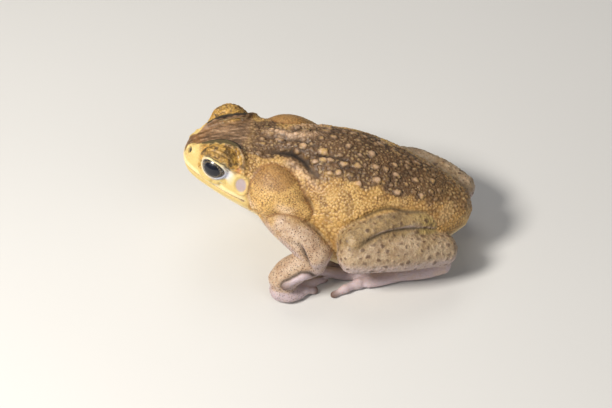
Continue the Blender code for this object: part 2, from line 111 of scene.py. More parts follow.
# Limb rows: x, y, z, half width, half thickness
UPPER_ARM = [
    (18, 42, 33.5, 8.5, 8),
    (26, 48.5, 31.5, 8.2, 7.6),
    (32.5, 57.5, 26.8, 7.4, 7),
    (36, 64, 21.8, 6.9, 6.8),
]
FOREARM = [
    (35.6, 63, 18.5, 6.2, 6.2),
    (37.2, 57.6, 16.6, 6.4, 6.4),
    (38.5, 52.2, 12.9, 6.8, 6.6),
    (39.8, 48.5, 8.4, 6.3, 5.6),
]
PALM = [
    (41.6, 47.4, 4.2, 5.6, 4),
    (40.2, 50.4, 3.2, 7.2, 3.6),
    (37.4, 53.5, 2.4, 7.4, 3),
]
THIGH = [
    (12, 107.5, 25, 9, 9),
    (16.5, 101, 27, 9.8, 9.6),
    (23.5, 90.5, 28.6, 9.6, 9.2),
    (32.5, 79.5, 27, 8.4, 8.4),
]
SHANK = [
    (35.5, 79, 23.6, 8, 8.2),
    (33, 88.5, 23.6, 8.6, 8.4),
    (29.5, 99.5, 22.4, 8.5, 8.2),
    (24.5, 110.5, 20, 7.6, 7.6),
    (20.5, 117.5, 18, 7, 7),
]
TARSUS = [
    (19, 116.5, 9, 5.8, 5.4),
    (20.6, 108, 5.8, 5.4, 4.8),
    (22.2, 98.5, 4.6, 5.4, 4.4),
]
SOLE = [
    (22.4, 97.5, 3.8, 5.4, 3.6),
    (23.6, 91, 3, 7, 3.2),
    (25, 84.5, 2.4, 7.8, 2.6),
]

# The right leg lies lower, with its heel further back
RIGHT_THIGH = [
    (-12, 107.5, 20.5, 8.4, 8.4),
    (-16.8, 101, 20.5, 8.8, 8.6),
    (-24.5, 90.5, 19.5, 8.4, 8.2),
    (-33, 80.5, 18.5, 7.6, 7.6),
]
RIGHT_SHANK = [
    (-36, 79.5, 15.5, 7.6, 7.6),
    (-33.5, 88.5, 17, 8.2, 8),
    (-30, 98, 20.3, 8.2, 8),
    (-24, 110.5, 21.2, 7.6, 7.6),
    (-18.8, 121.5, 18.8, 6.9, 6.9),
]
RIGHT_TARSUS = [
    (-17.2, 120, 9, 5.8, 5.4),
    (-19.6, 110, 5.8, 5.4, 4.8),
    (-22, 99.5, 4.6, 5.4, 4.4),
]

# Digits: root radius, tip radius, then points from the root to the tip
FINGERS = [
    (2.5, 1.7, (40.2, 53, 3), (39, 58, 3.2), (36.6, 62.5, 1.4)),
    (2.4, 1.6, (37.5, 55, 3), (33.6, 61, 3), (29, 66, 1.3)),
    (2.4, 1.5, (34.5, 54, 2.8), (28, 58.6, 2.8), (22, 61.5, 1.3)),
    (2.3, 1.5, (35, 51, 2.8), (28.6, 51.6, 2.8), (23, 52.5, 1.3)),
]
TOES = [
    (2.1, 1.5, (20, 87, 2.4), (16, 81.5, 2.2), (13.5, 78, 1.2)),
    (2.2, 1.4, (21.5, 84, 2.4), (17.5, 76, 2.3), (16, 69, 1.2)),
    (2.3, 1.4, (23.5, 82, 2.4), (20.5, 70, 2.4), (20, 61, 1.2)),
    (2.6, 1.7, (26, 82, 2.6), (26.2, 72, 3), (30.2, 64.8, 7.4), (41.6, 60.4, 15.6),
     (44.7, 55.8, 14.8), (45.8, 51.2, 11.2)),
    (2.5, 1.5, (29, 84, 2.4), (34, 77, 2.4), (38, 71.5, 1.2)),
]
KNUCKLE_SWELL = 0.13
KNUCKLES = 2.5
DIGIT_ROWS = 13

# Parotoid gland rows, set on the side of the neck
PAROTOID = [
    (20.2, 36.6, 43.4, 10.2, 5.2),
    (20.9, 40.4, 43.8, 11.4, 6),
    (21.5, 44.6, 43.2, 10.9, 6.2),
    (22.4, 49.4, 41, 8.9, 6),
    (23.5, 54, 38.4, 6.4, 5.4),
    (24.8, 58, 36.2, 4, 4.4),
]
PAROTOID_OUT = (0.74, -0.1, 0.67)
GLAND_CALM = 0.85

EYE = (14.2, 17.2, 50.3)
EYE_RADIUS = 6.5
EYE_LOOKS = (0.93, -0.25, 0.27)
EYE_TILT = math.radians(20)
OPENING = (5.35, 3.35)
CORNEA_BULGE = 0.05
# The skin round the eye: how far it is shaped, what snaps to the opening's edge, its rim and folds
EYE_REACH = 16
EDGE_SNAP = 0.28
EDGE_SHARE = 0.35
RIM_DEPTH = 1.2
LID_LEAST = 0.25
LID_FOLDS = 1.8
LID_FOLD_DEPTH = 0.24
LID = (13.8, 18, 49.7)
LID_RADII = (7.8, 9.8, 9.6)
LID_SIDES = 48
LID_RINGS = 31
TYMPANUM = (21, 28.6, 45.4)
TYMPANUM_OUT = (0.93, -0.2, 0.3)
TYMPANUM_RADII = (3.2, 4.2)
NOSTRIL = (5.3, 3.9, 49.6)
NOSTRIL_LOOKS = (0.8, -0.5, 0.5)
NOSTRIL_RADII = (1.2, 1.1)
CREST = [
    (4.6, 5, 50.2, 1, 1),
    (6.6, 9, 53.9, 1.1, 1.1),
    (7.9, 14.5, 57.4, 1.1, 1.2),
    (8.7, 20.5, 58.9, 1.2, 1.3),
    (10.8, 26, 58.2, 1.2, 1.3),
    (15.4, 29, 54.8, 1.1, 1.2),
    (19.2, 29.4, 50.6, 0.9, 0.9),
]
# The side and the half width of the black line on each crest, which is partly the crest's own dark keratin
# and partly painted shade
CREST_LINES = ((1, 1.8), (-1, 1))

MOUTH_FRONT = 43.2
MOUTH_FALL = 0.18
MOUTH_END = 30.5
MOUTH_WIDTH = 0.42
MOUTH_DEPTH = 1.1
LIP_RADIUS = 1.2
LIP_RISE = 1.3
LIP_SUNK = 0.6
LIP_FRONT = 0.9
LIP_STATIONS = (2, 4.5, 8, 12.5, 18, 24, 29)
LIP_TAPER = (1, 1, 1, 1, 0.95, 0.8, 0.5)

# Large warts of the left side and the middle of the back: x, y, radius
WARTS = [
    (7.4, 50.1, 2.4), (4.7, 53.7, 2.2), (11.4, 56.8, 1.9), (6.7, 62.7, 2.6), (10.3, 63.2, 1.8),
    (14.6, 70.3, 1.7), (10.7, 72.4, 2), (1.2, 72.9, 1.8), (9.6, 77.9, 1.9), (1.3, 83, 2.3),
    (7.1, 85.7, 2.3), (12.6, 86.6, 2.1), (2.1, 93.2, 1.8), (6.8, 94.6, 1.7), (1.4, 42.5, 2.2),
    (16.5, 79, 1.6), (14, 96, 1.8), (5, 103, 1.7), (10.5, 106, 1.6), (1, 110, 1.6),
]
SMALL_WARTS = [
    (1.8, 35, 1.4), (4.8, 35.9, 1.3), (-7.3, 36.3, 1.5), (12.9, 35.3, 1.2), (3.5, 56.4, 1.6),
    (11.2, 59.6, 1.5), (10, 66, 1.5), (6, 90, 1.4), (-7.6, 91.5, 1.6), (-6.9, 84, 1.6),
    (-3.9, 106.1, 1.4), (15.2, 66.5, 1.4), (-2.6, 66, 1.7), (4.2, 78.5, 1.4), (-4.6, 76.5, 1.6),
    (-3.2, 98.5, 1.5), (9.2, 99.5, 1.3), (-0.5, 61, 1.4),
]
WART_SHIFT = 1.4
WART_SEED = 7

# How far from its course a fold is felt, and the distance that counts as out of its reach
FOLD_REACH = 6
FAR = 99.0
# Folds of the left side: reach of the fold, depth, then its course over the skin
GROOVES = [
    (2.1, 2.6, (8.2, 38.6, 55.2), (7.8, 42.5, 55.3), (7.9, 47.9, 55.4), (10.3, 53.1, 54.7),
     (12.9, 56.2, 53.1), (15.1, 58.3, 51.8), (16.6, 61.5, 50.2)),
    (1.3, 1, (16.8, 46.5, 54.2), (21.5, 51.1, 50.6), (24.3, 56.4, 46.1), (25.4, 59.6, 42.7),
     (26.4, 61.1, 38.5)),
    (1.1, 0.8, (8.3, 57.3, 55.7), (8.7, 62.3, 55.5), (8.3, 67.5, 55.2), (8.5, 72.3, 54.2)),
    (1.3, 1.1, (28.9, 76.3, 35), (25.8, 83.3, 37.9), (20.9, 92.3, 39.2), (18.1, 102.5, 36.1),
     (12.8, 114.7, 32.7)),
    (1, 0.7, (30.2, 56.1, 35.5), (28.4, 59.9, 33.1), (30.5, 65, 29.4), (32.1, 69.7, 26)),
    (0.9, 0.8, (37.3, 52.6, 30.5), (39.1, 56.5, 29), (41, 59.4, 25.2), (42.3, 62.2, 20.6)),
    (0.9, 0.8, (21.8, 31.8, 50.5), (23.6, 32.2, 45.5), (24, 32.6, 40), (23.4, 33, 35.5)),
    (1.2, 1.3, (38.6, 82.4, 31.2), (34.2, 87.6, 33.3), (30.3, 93.5, 34), (26.3, 100.9, 33.1),
     (22.8, 107, 30.9), (17.7, 113.4, 26.8)),
    (0.9, 1.5, (38.2, 56.3, 30.6), (39.9, 58.2, 28.2), (41.5, 60.2, 24), (42.4, 61.2, 21)),
]
# Folds that only the middle of the back has
SPINE_GROOVES = [
    (1, 1.1, (1.5, 45.6, 56.7), (1.6, 50.6, 57.1), (2.9, 55.2, 57.3), (4.9, 58.3, 56.9)),
    (1, 1.2, (-6.9, 38.5, 55.4), (-6, 44.9, 55.8), (-6.3, 49.4, 56.4), (-10, 54, 55)),
    (0.9, 0.9, (1.2, 36.5, 56.3), (0.6, 42, 56.6), (1.8, 47, 56.9), (1.4, 53, 57.2)),
]
RIDGES = [
    (2, 1.7, (-3.5, 36.2, 56.2), (-3, 41.4, 56.5), (-0.9, 47.9, 56.9), (-1.8, 54.6, 57.3),
     (-3.1, 60.7, 57.4)),
]
SIDE_RIDGES = [
    (1.9, 0.9, (11.4, 47, 55.2), (13.6, 51, 54.2), (16.6, 55.8, 52.2), (20, 60, 49.2),
     (22, 64, 47)),
]

# Places along the body (y), up it (z) or across it (x) where one region passes into the next
NECK = 29.5
RUMP = (92, 104)
TAIL_END = (100, 118)
NAPE = (27, 30)
SNOUT_PATCH = (13, 8)
CROWN_RISE = (44, 46.5)
THROAT_TOP = (34, 26)
THROAT_END = (62, 45)
ARM_STARTS = (25, 35)
# Half width of the dark back: y, x
DORSAL_EDGE = [(24, 13), (33, 13), (45, 11), (57, 16), (73, 15.8), (97, 14.6), (112, 9.5), (122, 6)]

# Granules: the gap between them and their height, and what each region adds to these or takes away
GRAIN_GAP = 1.12
GRAIN_GAPS = {"limb": -0.1, "dorsal": 0.22, "lid_top": -0.1, "gland": -0.12, "head": -0.1}
GRAIN_GAP_LIMITS = (0.7, 2)
GRAIN_SIZES = {"torso": 0.27, "lid_top": 0.22, "limb": 0.13, "small": 0.05, "gland": 0.15}
GRAIN_CALM = {"rim": 1, "drum_rim": 1, "wart": 0.85, "under": 0.5, "crest": 1, "line": 0.7}
SPOT_GAP = 3
SPOT_RISE = 0.26
FLOOR_EASE = 0.6
LIFTED_MASKS = ("rim", "rim_blue", "line", "crest", "tail", "drum", "drum_rim", "mouth", "lip", "nostril")

# Colours as seen in plain light
COLOURS = {
    "back": (108, 80, 52),
    "back_dark": (50, 35, 23),
    "flank": (200, 160, 94),
    "flank_deep": (178, 134, 68),
    "flank_dark": (118, 80, 36),
    "rump": (170, 136, 88),
    "belly": (232, 214, 172),
    "snout": (134, 94, 54),
    "trough": (150, 116, 84),
    "face": (210, 184, 116),
    "lip": (232, 212, 158),
    "lid": (196, 152, 74),
    "rim": (196, 200, 216),
    "gland": (208, 166, 98),
    "gland_pale": (232, 200, 164),
    "gland_edge": (138, 90, 44),
    "arm": (190, 164, 138),
    "leg": (178, 154, 124),
    "thigh": (160, 132, 90),
    "thigh_end": (206, 176, 104),
    "pale": (184, 166, 170),
    "tip": (92, 62, 44),
    "drum": (172, 154, 154),
    "wart": (208, 172, 138),
    # Granule tops: partly their own tone, partly painted highlight
    "grain": (204, 170, 116),
    "orange": (206, 120, 60),
    "spot": (78, 54, 38),
    "nostril": (74, 66, 62),
    "black": (20, 15, 11),
}

# How much each region's colour is mottled, beyond the least
MOTTLE = {"dorsal": 0.4, "limb": 0.25, "lid_top": 0.35, "face": -0.2, "rim": -0.2}
# The streaks of the crown are ripples drawn out along the body
STREAK_SQUEEZE = (1.7, 0.45, 1)

# Noises of the skin: scale, detail, roughness
SKIN_NOISES = ((90, 4, 0.55), (380, 4, 0.6), (1700, 3, 0.6), (4200, 2, 0.5))
# Halves of the pupil along and across the opening, as shares of the eye's radius
PUPIL_SHAPE = {"Y": 0.56, "Z": 0.40}
PUPIL = (0.003, 0.004, 0.010, 1)
IRIS = (0.012, 0.010, 0.010, 1)
IRIS_FLECKS = (0.42, 0.42, 0.42, 1)
IRIS_RING = (0.22, 0.15, 0.06, 1)

# Places as azimuth, elevation and distance. Azimuth 0 is in front of the toad, 90 at its left
CAMERA_PLACE = (97.6, 42, 1.2)
CAMERA_TARGET = (0, 0, 0.025)
CAMERA_LENS = 159.5
CAMERA_SENSOR = 36
CAMERA_SHIFT = (-0.0364, -0.0142)
CAMERA_CLIP = 0.01
# Lights: name, place, size, power, colour
LIGHTS = [
    ("key", (48, 46, 0.9), 0.26, 10.2, (1, 0.97, 0.92)),
    ("fill", (135, 40, 1), 0.6, 1.6, (0.95, 0.97, 1)),
    ("top", (285, 60, 0.9), 0.5, 1.6, (1, 0.98, 0.94)),
]
SKY = ((0.93, 0.95, 1, 1), 0.15)
FLOOR_SIZE = 3
FLOOR_TONES = ((0.60, 0.585, 0.56, 1), (0.66, 0.645, 0.62, 1))

FLESH = [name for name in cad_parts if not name.startswith("eye")]


def unit(rows):
    rows = np.asarray(rows, float)
    return rows / np.linalg.norm(rows, axis=-1, keepdims=True)


def held(values):
    return np.clip(values, 0, 1)


def bell(values):
    return np.exp(-(values**2))


def step(low, high, value):
    """A smooth rise from 0 at low to 1 at high."""
    t = np.clip((np.asarray(value, float) - low) / (high - low), 0, 1)
    return t * t * (3 - 2 * t)


def mix(a, b, share):
    return a + (b - a) * np.asarray(share)[..., None]


def spline(rows, at):
    """The Catmull-Rom curve through the rows, read at places counted in rows."""
    rows = np.asarray(rows, float)
    last = len(rows) - 1
    at = np.clip(np.asarray(at, float), 0, last)
    k = np.minimum(at.astype(int), last - 1)
    t = (at - k)[:, None]
    padded = np.vstack([2 * rows[0] - rows[1], rows, 2 * rows[-1] - rows[-2]])
    a, b, c, d = (padded[k + i] for i in range(4))
    cubic = 3 * b - a - 3 * c + d
    return 0.5 * (2 * b + (c - a) * t + (2 * a - 5 * b + 4 * c - d) * t**2 + cubic * t**3)


def along_rows(rows, count):
    """The curve through the rows, read at a number of even places."""
    return spline(rows, np.linspace(0, len(rows) - 1, count))


def rings_to_mesh(rings, start, end):
    """(points, faces, place of each face from 0 at the start to 1 at the end)."""
    count, sides = rings.shape[:2]
    points = np.vstack([rings.reshape(-1, 3), start, end])
    first, last = count * sides, count * sides + 1
    faces, along = [], []
    for i in range(count - 1):
        for j in range(sides):
            k = (j + 1) % sides
            a, b = i * sides, (i + 1) * sides
            faces.append((a + j, a + k, b + k, b + j))
            along.append((i + 0.5) / (count - 1))
    for j in range(sides):
        k = (j + 1) % sides
        faces.append((first, k, j))
        along.append(0.0)
        faces.append((last, first - sides + j, first - sides + k))
        along.append(1.0)
    return points, faces, along


def tube(rows, up=UPRIGHT, sides=36, rings=60, cap=0.8):
    """A limb through rows of (x, y, z, half width, half thickness), with round ends."""
    line = along_rows(rows, rings)
    centre, half = line[:, :3], line[:, 3:5]
    along = unit(np.gradient(centre, axis=0))
    ends = []
    for end, way in ((0, -1.0), (-1, 1.0)):
        reach = cap * half[end].mean()
        out = centre[end] + way * along[end] * reach * np.sin(CAP_TURNS)[:, None]
        ends.append((out, half[end] * np.cos(CAP_TURNS)[:, None], centre[end] + way * along[end] * reach))
    (first, first_half, start), (last, last_half, end) = ends
    centre = np.vstack([first[::-1], centre, last])
    half = np.vstack([first_half[::-1], half, last_half])
    along = np.vstack([along[:1]] * len(CAP_TURNS) + [along] + [along[-1:]] * len(CAP_TURNS))
    side = unit(np.cross(along, up))
    rise = np.cross(side, along)
    turn = np.linspace(0, 2 * math.pi, sides, endpoint=False)
    across = half[:, None, :1] * np.cos(turn)[None, :, None] * side[:, None]
    over = half[:, None, 1:] * np.sin(turn)[None, :, None] * rise[:, None]
    return rings_to_mesh(centre[:, None] + across + over, start, end)


def trunk_section(row, sides):
    """One section of the head and trunk: a rounded outline with a trough between the crests."""
    y, wide, middle, top, bottom, upper, lower, trough = row
    turn = np.linspace(0, 2 * math.pi, sides, endpoint=False) + math.pi / sides
    c, s = np.cos(turn), np.sin(turn)
    power = np.where(s > 0, upper, lower)
    x = wide * np.sign(c) * np.abs(c) ** (2 / power)
    rise = np.abs(s) ** (2 / power)
    z = np.where(s > 0, middle + (top - middle) * rise, middle - (middle - bottom) * rise)
    dip = np.clip(1 - (x / (TROUGH_SHARE * wide)) ** 2, 0, 1)
    return np.stack([x, np.full(sides, y), z - trough * dip * (s > 0)], axis=1)


def trunk():
    rings = np.stack([trunk_section(row, TRUNK_SIDES) for row in along_rows(TRUNK, TRUNK_RINGS)])
    snout = rings[0].mean(axis=0) - (0, SNOUT_CAP, 0)
    vent = rings[-1].mean(axis=0) + (0, VENT_CAP, 0)
    points, faces, along = rings_to_mesh(rings, snout, vent)
    return points, [face[::-1] for face in faces], along


def axes_of(out):
    """Three axes: out, level and backwards, and as upright as it can be."""
    x = unit(out)
    y = unit(np.cross((0, 0, 1), x))
    return x, y, np.cross(x, y)


def lid():
    """The upper lid with the bone over it: an ellipsoid whose poles are at the sides."""
    lift = np.linspace(-math.pi / 2, math.pi / 2, LID_RINGS + 2)[1:-1, None]
    turn = np.linspace(0, 2 * math.pi, LID_SIDES, endpoint=False)
    level = np.cos(lift)
    poles = np.repeat(np.sin(lift), LID_SIDES, axis=1)
    rings = np.stack([poles, level * np.cos(turn), level * np.sin(turn)], axis=-1)
    ends = [np.add(LID, (way * LID_RADII[0], 0, 0)) for way in (-1, 1)]
    return rings_to_mesh(rings * LID_RADII + LID, *ends)


def lip():
    """The roll of the upper lip, from one corner of the mouth round the snout to the other."""
    rows = []
    for y, share in zip(LIP_STATIONS, LIP_TAPER):
        place = float(np.interp(y, [row[0] for row in TRUNK], range(len(TRUNK))))
        _, wide, middle, top, bottom, upper, lower, _ = spline(TRUNK, [place])[0]
        z = MOUTH_FRONT - MOUTH_FALL * y + LIP_RISE
        reach, power = (top - middle, upper) if z > middle else (middle - bottom, lower)
        x = wide * (1 - min(abs(z - middle) / reach, 1.0) ** power) ** (1 / power)
        radius = LIP_RADIUS * share
        rows.append((x - radius * LIP_SUNK, y, z, radius, radius))
    right = [(-row[0], *row[1:]) for row in reversed(rows)]
    front = (0.0, LIP_FRONT, MOUTH_FRONT + LIP_RISE, LIP_RADIUS, LIP_RADIUS)
    return tube([*right, front, *rows], sides=16, rings=160)


def digit(root_radius, tip_radius, *points):
    """A finger or toe through its points, swollen at its joints and at its tip."""
    share = np.linspace(0, 1, DIGIT_ROWS)
    radius = root_radius + (tip_radius - root_radius) * share
    radius = radius * (1 + KNUCKLE_SWELL * np.cos(2 * math.pi * KNUCKLES * (share - 1)))
    rows = np.column_stack([spline(points, share * (len(points) - 1)), radius, radius])
    return tube(rows, sides=20, rings=40, cap=1.0)


def forms():
    """Every form of flesh as (kind, (points, faces, places of the faces))."""
    made = [("trunk", trunk()), ("lip", lip())]
    legs = (("thigh", THIGH, RIGHT_THIGH), ("shank", SHANK, RIGHT_SHANK), ("tarsus", TARSUS, RIGHT_TARSUS))
    made += [(kind, tube(rows)) for kind, *both in legs for rows in both]
    paired = [
        ("lid", lid()),
        ("crest", tube(CREST, sides=16)),
        ("gland", tube(PAROTOID, PAROTOID_OUT, 48, cap=0.6)),
        ("arm", tube(UPPER_ARM)),
        ("fore", tube(FOREARM, (1, 0, 0))),
        ("hand", tube(PALM)),
        ("foot", tube(SOLE)),
    ]
    paired += [("finger", digit(*row)) for row in FINGERS]
    paired += [("toe", digit(*row)) for row in TOES]
    for kind, (points, faces, along) in paired:
        mirrored = points * (-1, 1, 1), [face[::-1] for face in faces], along
        made += [(kind, (points, faces, along)), (kind, mirrored)]
    return made


def linked(name, data):
    made = bpy.data.objects.new(name, data)
    bpy.context.scene.collection.objects.link(made)
    return made


def read(items, name, width=1, kind=float):
    """One property of all the items of a mesh, as a flat row of numbers."""
    flat = np.empty(len(items) * width, kind)
    items.foreach_get(name, flat)
    return flat


def write(items, name, values, kind=np.float32):
    items.foreach_set(name, np.asarray(values).astype(kind).ravel())


def write_field(mesh, name, kind, key, values):
    write(mesh.attributes.new(name, kind, "POINT").data, key, values)


def points_of(mesh):
    return read(mesh.vertices, "co", 3).reshape(-1, 3)


def quads_of(mesh, name):
    return read(mesh.loops, name, 1, np.int64).reshape(-1, 4)


def normals_of(mesh, points):
    write(mesh.vertices, "co", points)
    mesh.update()
    return read(mesh.vertex_normals, "vector", 3).reshape(-1, 3)


def ripple(at, size, seed):
    """A smooth random field between about -1 and 1, with features of the given size."""
    draw = np.random.default_rng(seed)
    total = np.zeros(len(at))
    for _ in range(WAVES):
        way = draw.normal(size=3)
        way *= draw.uniform(0.6, 1.5) * math.pi / (size * np.linalg.norm(way))
        total += np.sin(at @ way + draw.uniform(0, 2 * math.pi))
    return total / math.sqrt(WAVES)


def wobble(at, size, seed):
    """A smooth random shift of each point."""
    return np.stack([ripple(at, size, seed + k) for k in range(3)], axis=1)


def eased(values, edges, rounds, shares=(0.5,), weight=1.0):
    """Values that move towards the mean of their neighbours, round by round."""
    count = len(values)
    a, b = edges.T
    degree = np.bincount(a, minlength=count) + np.bincount(b, minlength=count)
    values = values.reshape(count, -1).copy()
    for turn in range(rounds):
        amount = shares[turn % len(shares)] * weight
        for column in values.T:
            total = np.bincount(a, column[b], count) + np.bincount(b, column[a], count)
            column += amount * (total / degree - column)
    return values


def gathered(index, rows, count):
    """The sum of the rows that share an index."""
    return np.stack([np.bincount(index, row, count) for row in rows.T], axis=1)


def halved(at, faces, edges, sides, corners, fields):
    """One Catmull-Clark division of a mesh of quads. sides has each face's edges, corners its UVs."""
    count = len(at)
    middles = at[faces].mean(axis=1)
    spread = np.repeat(middles, 4, axis=0)
    faces_round = np.bincount(sides.ravel(), minlength=len(edges))[:, None]
    ends = at[edges].sum(axis=1)
    on_edges = (ends + gathered(sides.ravel(), spread, len(edges))) / (2 + faces_round)
    valence = np.bincount(faces.ravel(), minlength=count)[:, None]
    around = gathered(faces.ravel(), spread, count) / valence
    degree = np.bincount(edges.ravel(), minlength=count)[:, None]
    ring = gathered(edges.ravel(), np.repeat(ends / 2, 2, axis=0), count) / degree
    kept = (around + 2 * ring + (valence - 3) * at) / valence
    centre = np.repeat(count + len(edges) + np.arange(len(faces)), 4).reshape(-1, 4)
    after = count + sides
    new_faces = np.stack([faces, after, centre, np.roll(after, 1, axis=1)], axis=2).reshape(-1, 4)
    half = (corners + np.roll(corners, -1, axis=1)) / 2
    whole = np.repeat(corners.mean(axis=1, keepdims=True), 4, axis=1)
    new_corners = np.stack([corners, half, whole, np.roll(half, 1, axis=1)], axis=2).reshape(-1, 2)
    new_fields = np.vstack([fields, fields[edges].mean(axis=1), fields[faces].mean(axis=1)])
    return np.vstack([kept, on_edges, middles]), new_faces, new_corners, new_fields


def quad_mesh(at, faces, corners):
    mesh = bpy.data.meshes.new("skin")
    mesh.vertices.add(len(at))
    write(mesh.vertices, "co", at)
    mesh.loops.add(4 * len(faces))
    write(mesh.loops, "vertex_index", faces, np.int32)
    mesh.polygons.add(len(faces))
    write(mesh.polygons, "loop_start", np.arange(0, 4 * len(faces), 4), np.int32)
    mesh.update(calc_edges=True)
    write(mesh.uv_layers.new(name="OFBake").data, "uv", corners)
    return mesh


def unwrap(mesh):
    """A UV map made on the smooth skin, before folds and granules."""
    obj = linked("unwrap", mesh)
    bpy.context.view_layer.objects.active = obj
    obj.select_set(True)
    mesh.uv_layers.new(name="OFBake")
    bpy.ops.object.mode_set(mode="EDIT")
    bpy.ops.mesh.select_all(action="SELECT")
    bpy.ops.uv.smart_project(angle_limit=UV_ANGLE, island_margin=UV_MARGIN)
    bpy.ops.object.mode_set(mode="OBJECT")
    bpy.data.objects.remove(obj)


def remeshed(points, faces):
    """The overlapping forms as one mesh of small quads."""
    mesh = bpy.data.meshes.new("forms")
    mesh.from_pydata(points, [], faces)
    joined = linked("forms", mesh)
    remesh = joined.modifiers.new("remesh", "REMESH")
    remesh.mode = "VOXEL"
    remesh.voxel_size = VOXEL
    graph = bpy.context.evaluated_depsgraph_get()
    mesh = bpy.data.meshes.new_from_object(joined.evaluated_get(graph))
    bpy.data.objects.remove(joined)
    return mesh


class Masks(dict):
    """Named masks, one value for each point of the skin, also read and set as attributes."""

    __getattr__ = dict.__getitem__
    __setattr__ = dict.__setitem__

    def lift(self, name, values, near=slice(None)):
        """Raises a mask to the values where they are higher."""
        self[name][near] = np.maximum(self[name][near], values)

    def total(self, shares, start=0.0):
        """A start value, with what each named mask adds to it."""
        for name, share in shares.items():
            start = start + share * self[name]
        return start


def base_skin():
    """All the forms as one closed mesh, with the joins eased, and what kind of form each point is on."""
    points, faces, kinds, along = [], [], [], []
    for kind, (form_points, form_faces, form_along) in forms():
        faces += [tuple(len(points) + i for i in face) for face in form_faces]
        points += form_points.tolist()
        kinds += [kind] * len(form_faces)
        along += form_along
    tree = BVHTree.FromPolygons(points, faces)
    mesh = remeshed(points, faces)
    at = points_of(mesh)
    edges = read(mesh.edges, "vertices", 2, np.int64).reshape(-1, 2)
    near = [tree.find_nearest(p)[2] for p in at.tolist()]
    names = sorted(set(kinds))
    kind_of = np.searchsorted(names, np.array(kinds)[near])
    digits = [names.index("finger"), names.index("toe")]
    share = np.zeros((len(at), len(names) + 1))
    share[np.arange(len(at)), kind_of] = 1.0
    share[:, -1] = np.array(along)[near] * np.isin(kind_of, digits)
    share = eased(share, edges, KIND_ROUNDS)
    strength = 1.0 - DIGIT_CALM * held(share[:, digits].sum(axis=1))
    at = eased(at, edges, SMOOTH_ROUNDS, SMOOTH_SHARES, strength)
    write(mesh.vertices, "co", at)
    unwrap(mesh)
    corners = read(mesh.uv_layers["OFBake"].data, "uv", 2, np.float32).reshape(-1, 4, 2)
    fields = eased(share, edges, KIND_ROUNDS)
    faces, sides = quads_of(mesh, "vertex_index"), quads_of(mesh, "edge_index")
    at, faces, corners, fields = halved(at, faces, edges, sides, corners, fields)
    return quad_mesh(at, faces, corners), Masks(zip([*names, "tips"], held(fields).T))


def line_gap(at, course):
    """How far each point is from a course of points, and how far along the course it lies."""
    low, high = course.min(axis=0) - FOLD_REACH, course.max(axis=0) + FOLD_REACH
    inside = np.flatnonzero(np.all((at > low) & (at < high), axis=1))
    some = at[inside]
    near, place = np.full(len(at), FAR), np.zeros(len(at))
    for k, (a, b) in enumerate(zip(course, course[1:])):
        t = held((some - a) @ (b - a) / ((b - a) @ (b - a)))
        gap = np.linalg.norm(some - (a + t[:, None] * (b - a)), axis=1)
        closer = gap < near[inside]
        near[inside[closer]] = gap[closer]
        place[inside[closer]] = (k + t[closer]) / (len(course) - 1)
    return near, place


def snapped(tree, points):
    return np.array([tuple(tree.find_nearest(tuple(p))[0]) for p in points])


def fold_field(at, tree, rows):
    """The depth of a set of folds at each point, and how strongly each is darkened as a line of painted
    shade.
    """
    depth, line = np.zeros((2, len(at)))
    uneven = 1 + 0.18 * ripple(at, 3.0, 8)
    for reach, deep, *course in rows:
        gap, place = line_gap(at, snapped(tree, along_rows(course, 5 * len(course))))
        gap = gap * uneven
        fade = np.sin(np.pi * held(0.04 + 0.92 * place)) ** 0.5
        depth = np.maximum(depth, deep * bell(gap / reach) * fade)
        strength = min(1.0, 0.25 + 0.45 * deep)
        line = np.maximum(line, strength * bell(gap / (0.55 * reach)) * fade)
    return depth, line


def flipped(rows):
    """The same folds for the right side."""
    return [(reach, deep, *[(-x, y, z) for x, y, z in course]) for reach, deep, *course in rows]


def kd_tree(at):
    tree = KDTree(len(at))
    for i, p in enumerate(at):
        tree.insert(p, i)
    tree.balance()
    return tree


def scatter(at, gap, draw):
    """Picks points in a random order so that each keeps its gap to the others."""
    tree = kd_tree(at)
    free = np.ones(len(at), bool)
    picked = []
    for i in draw.permutation(len(at)):
        if free[i]:
            picked.append(i)
            free[[found[1] for found in tree.find_range(at[i], gap[i])]] = False
    return np.array(picked)


def nearest(at, centres):
    """For each point, the number of its nearest centre and how far that is."""
    tree = kd_tree(centres)
    found = [tree.find(p)[1:] for p in at]
    return np.array([f[0] for f in found]), np.array([f[1] for f in found])


def dome(gap, radius, power=1.0):
    return held(1 - (gap / radius) ** 2) ** power


def eye_frame(side):
    """The eye's middle, its looking axis, and the long and short axes of its opening."""
    flip = np.array([side, 1, 1])
    looks, back, up = axes_of(EYE_LOOKS)
    long_axis = back * math.cos(EYE_TILT) - up * math.sin(EYE_TILT)
    short_axis = up * math.cos(EYE_TILT) + back * math.sin(EYE_TILT)
    return np.asarray(EYE) * flip, looks * flip, long_axis * flip, short_axis * flip


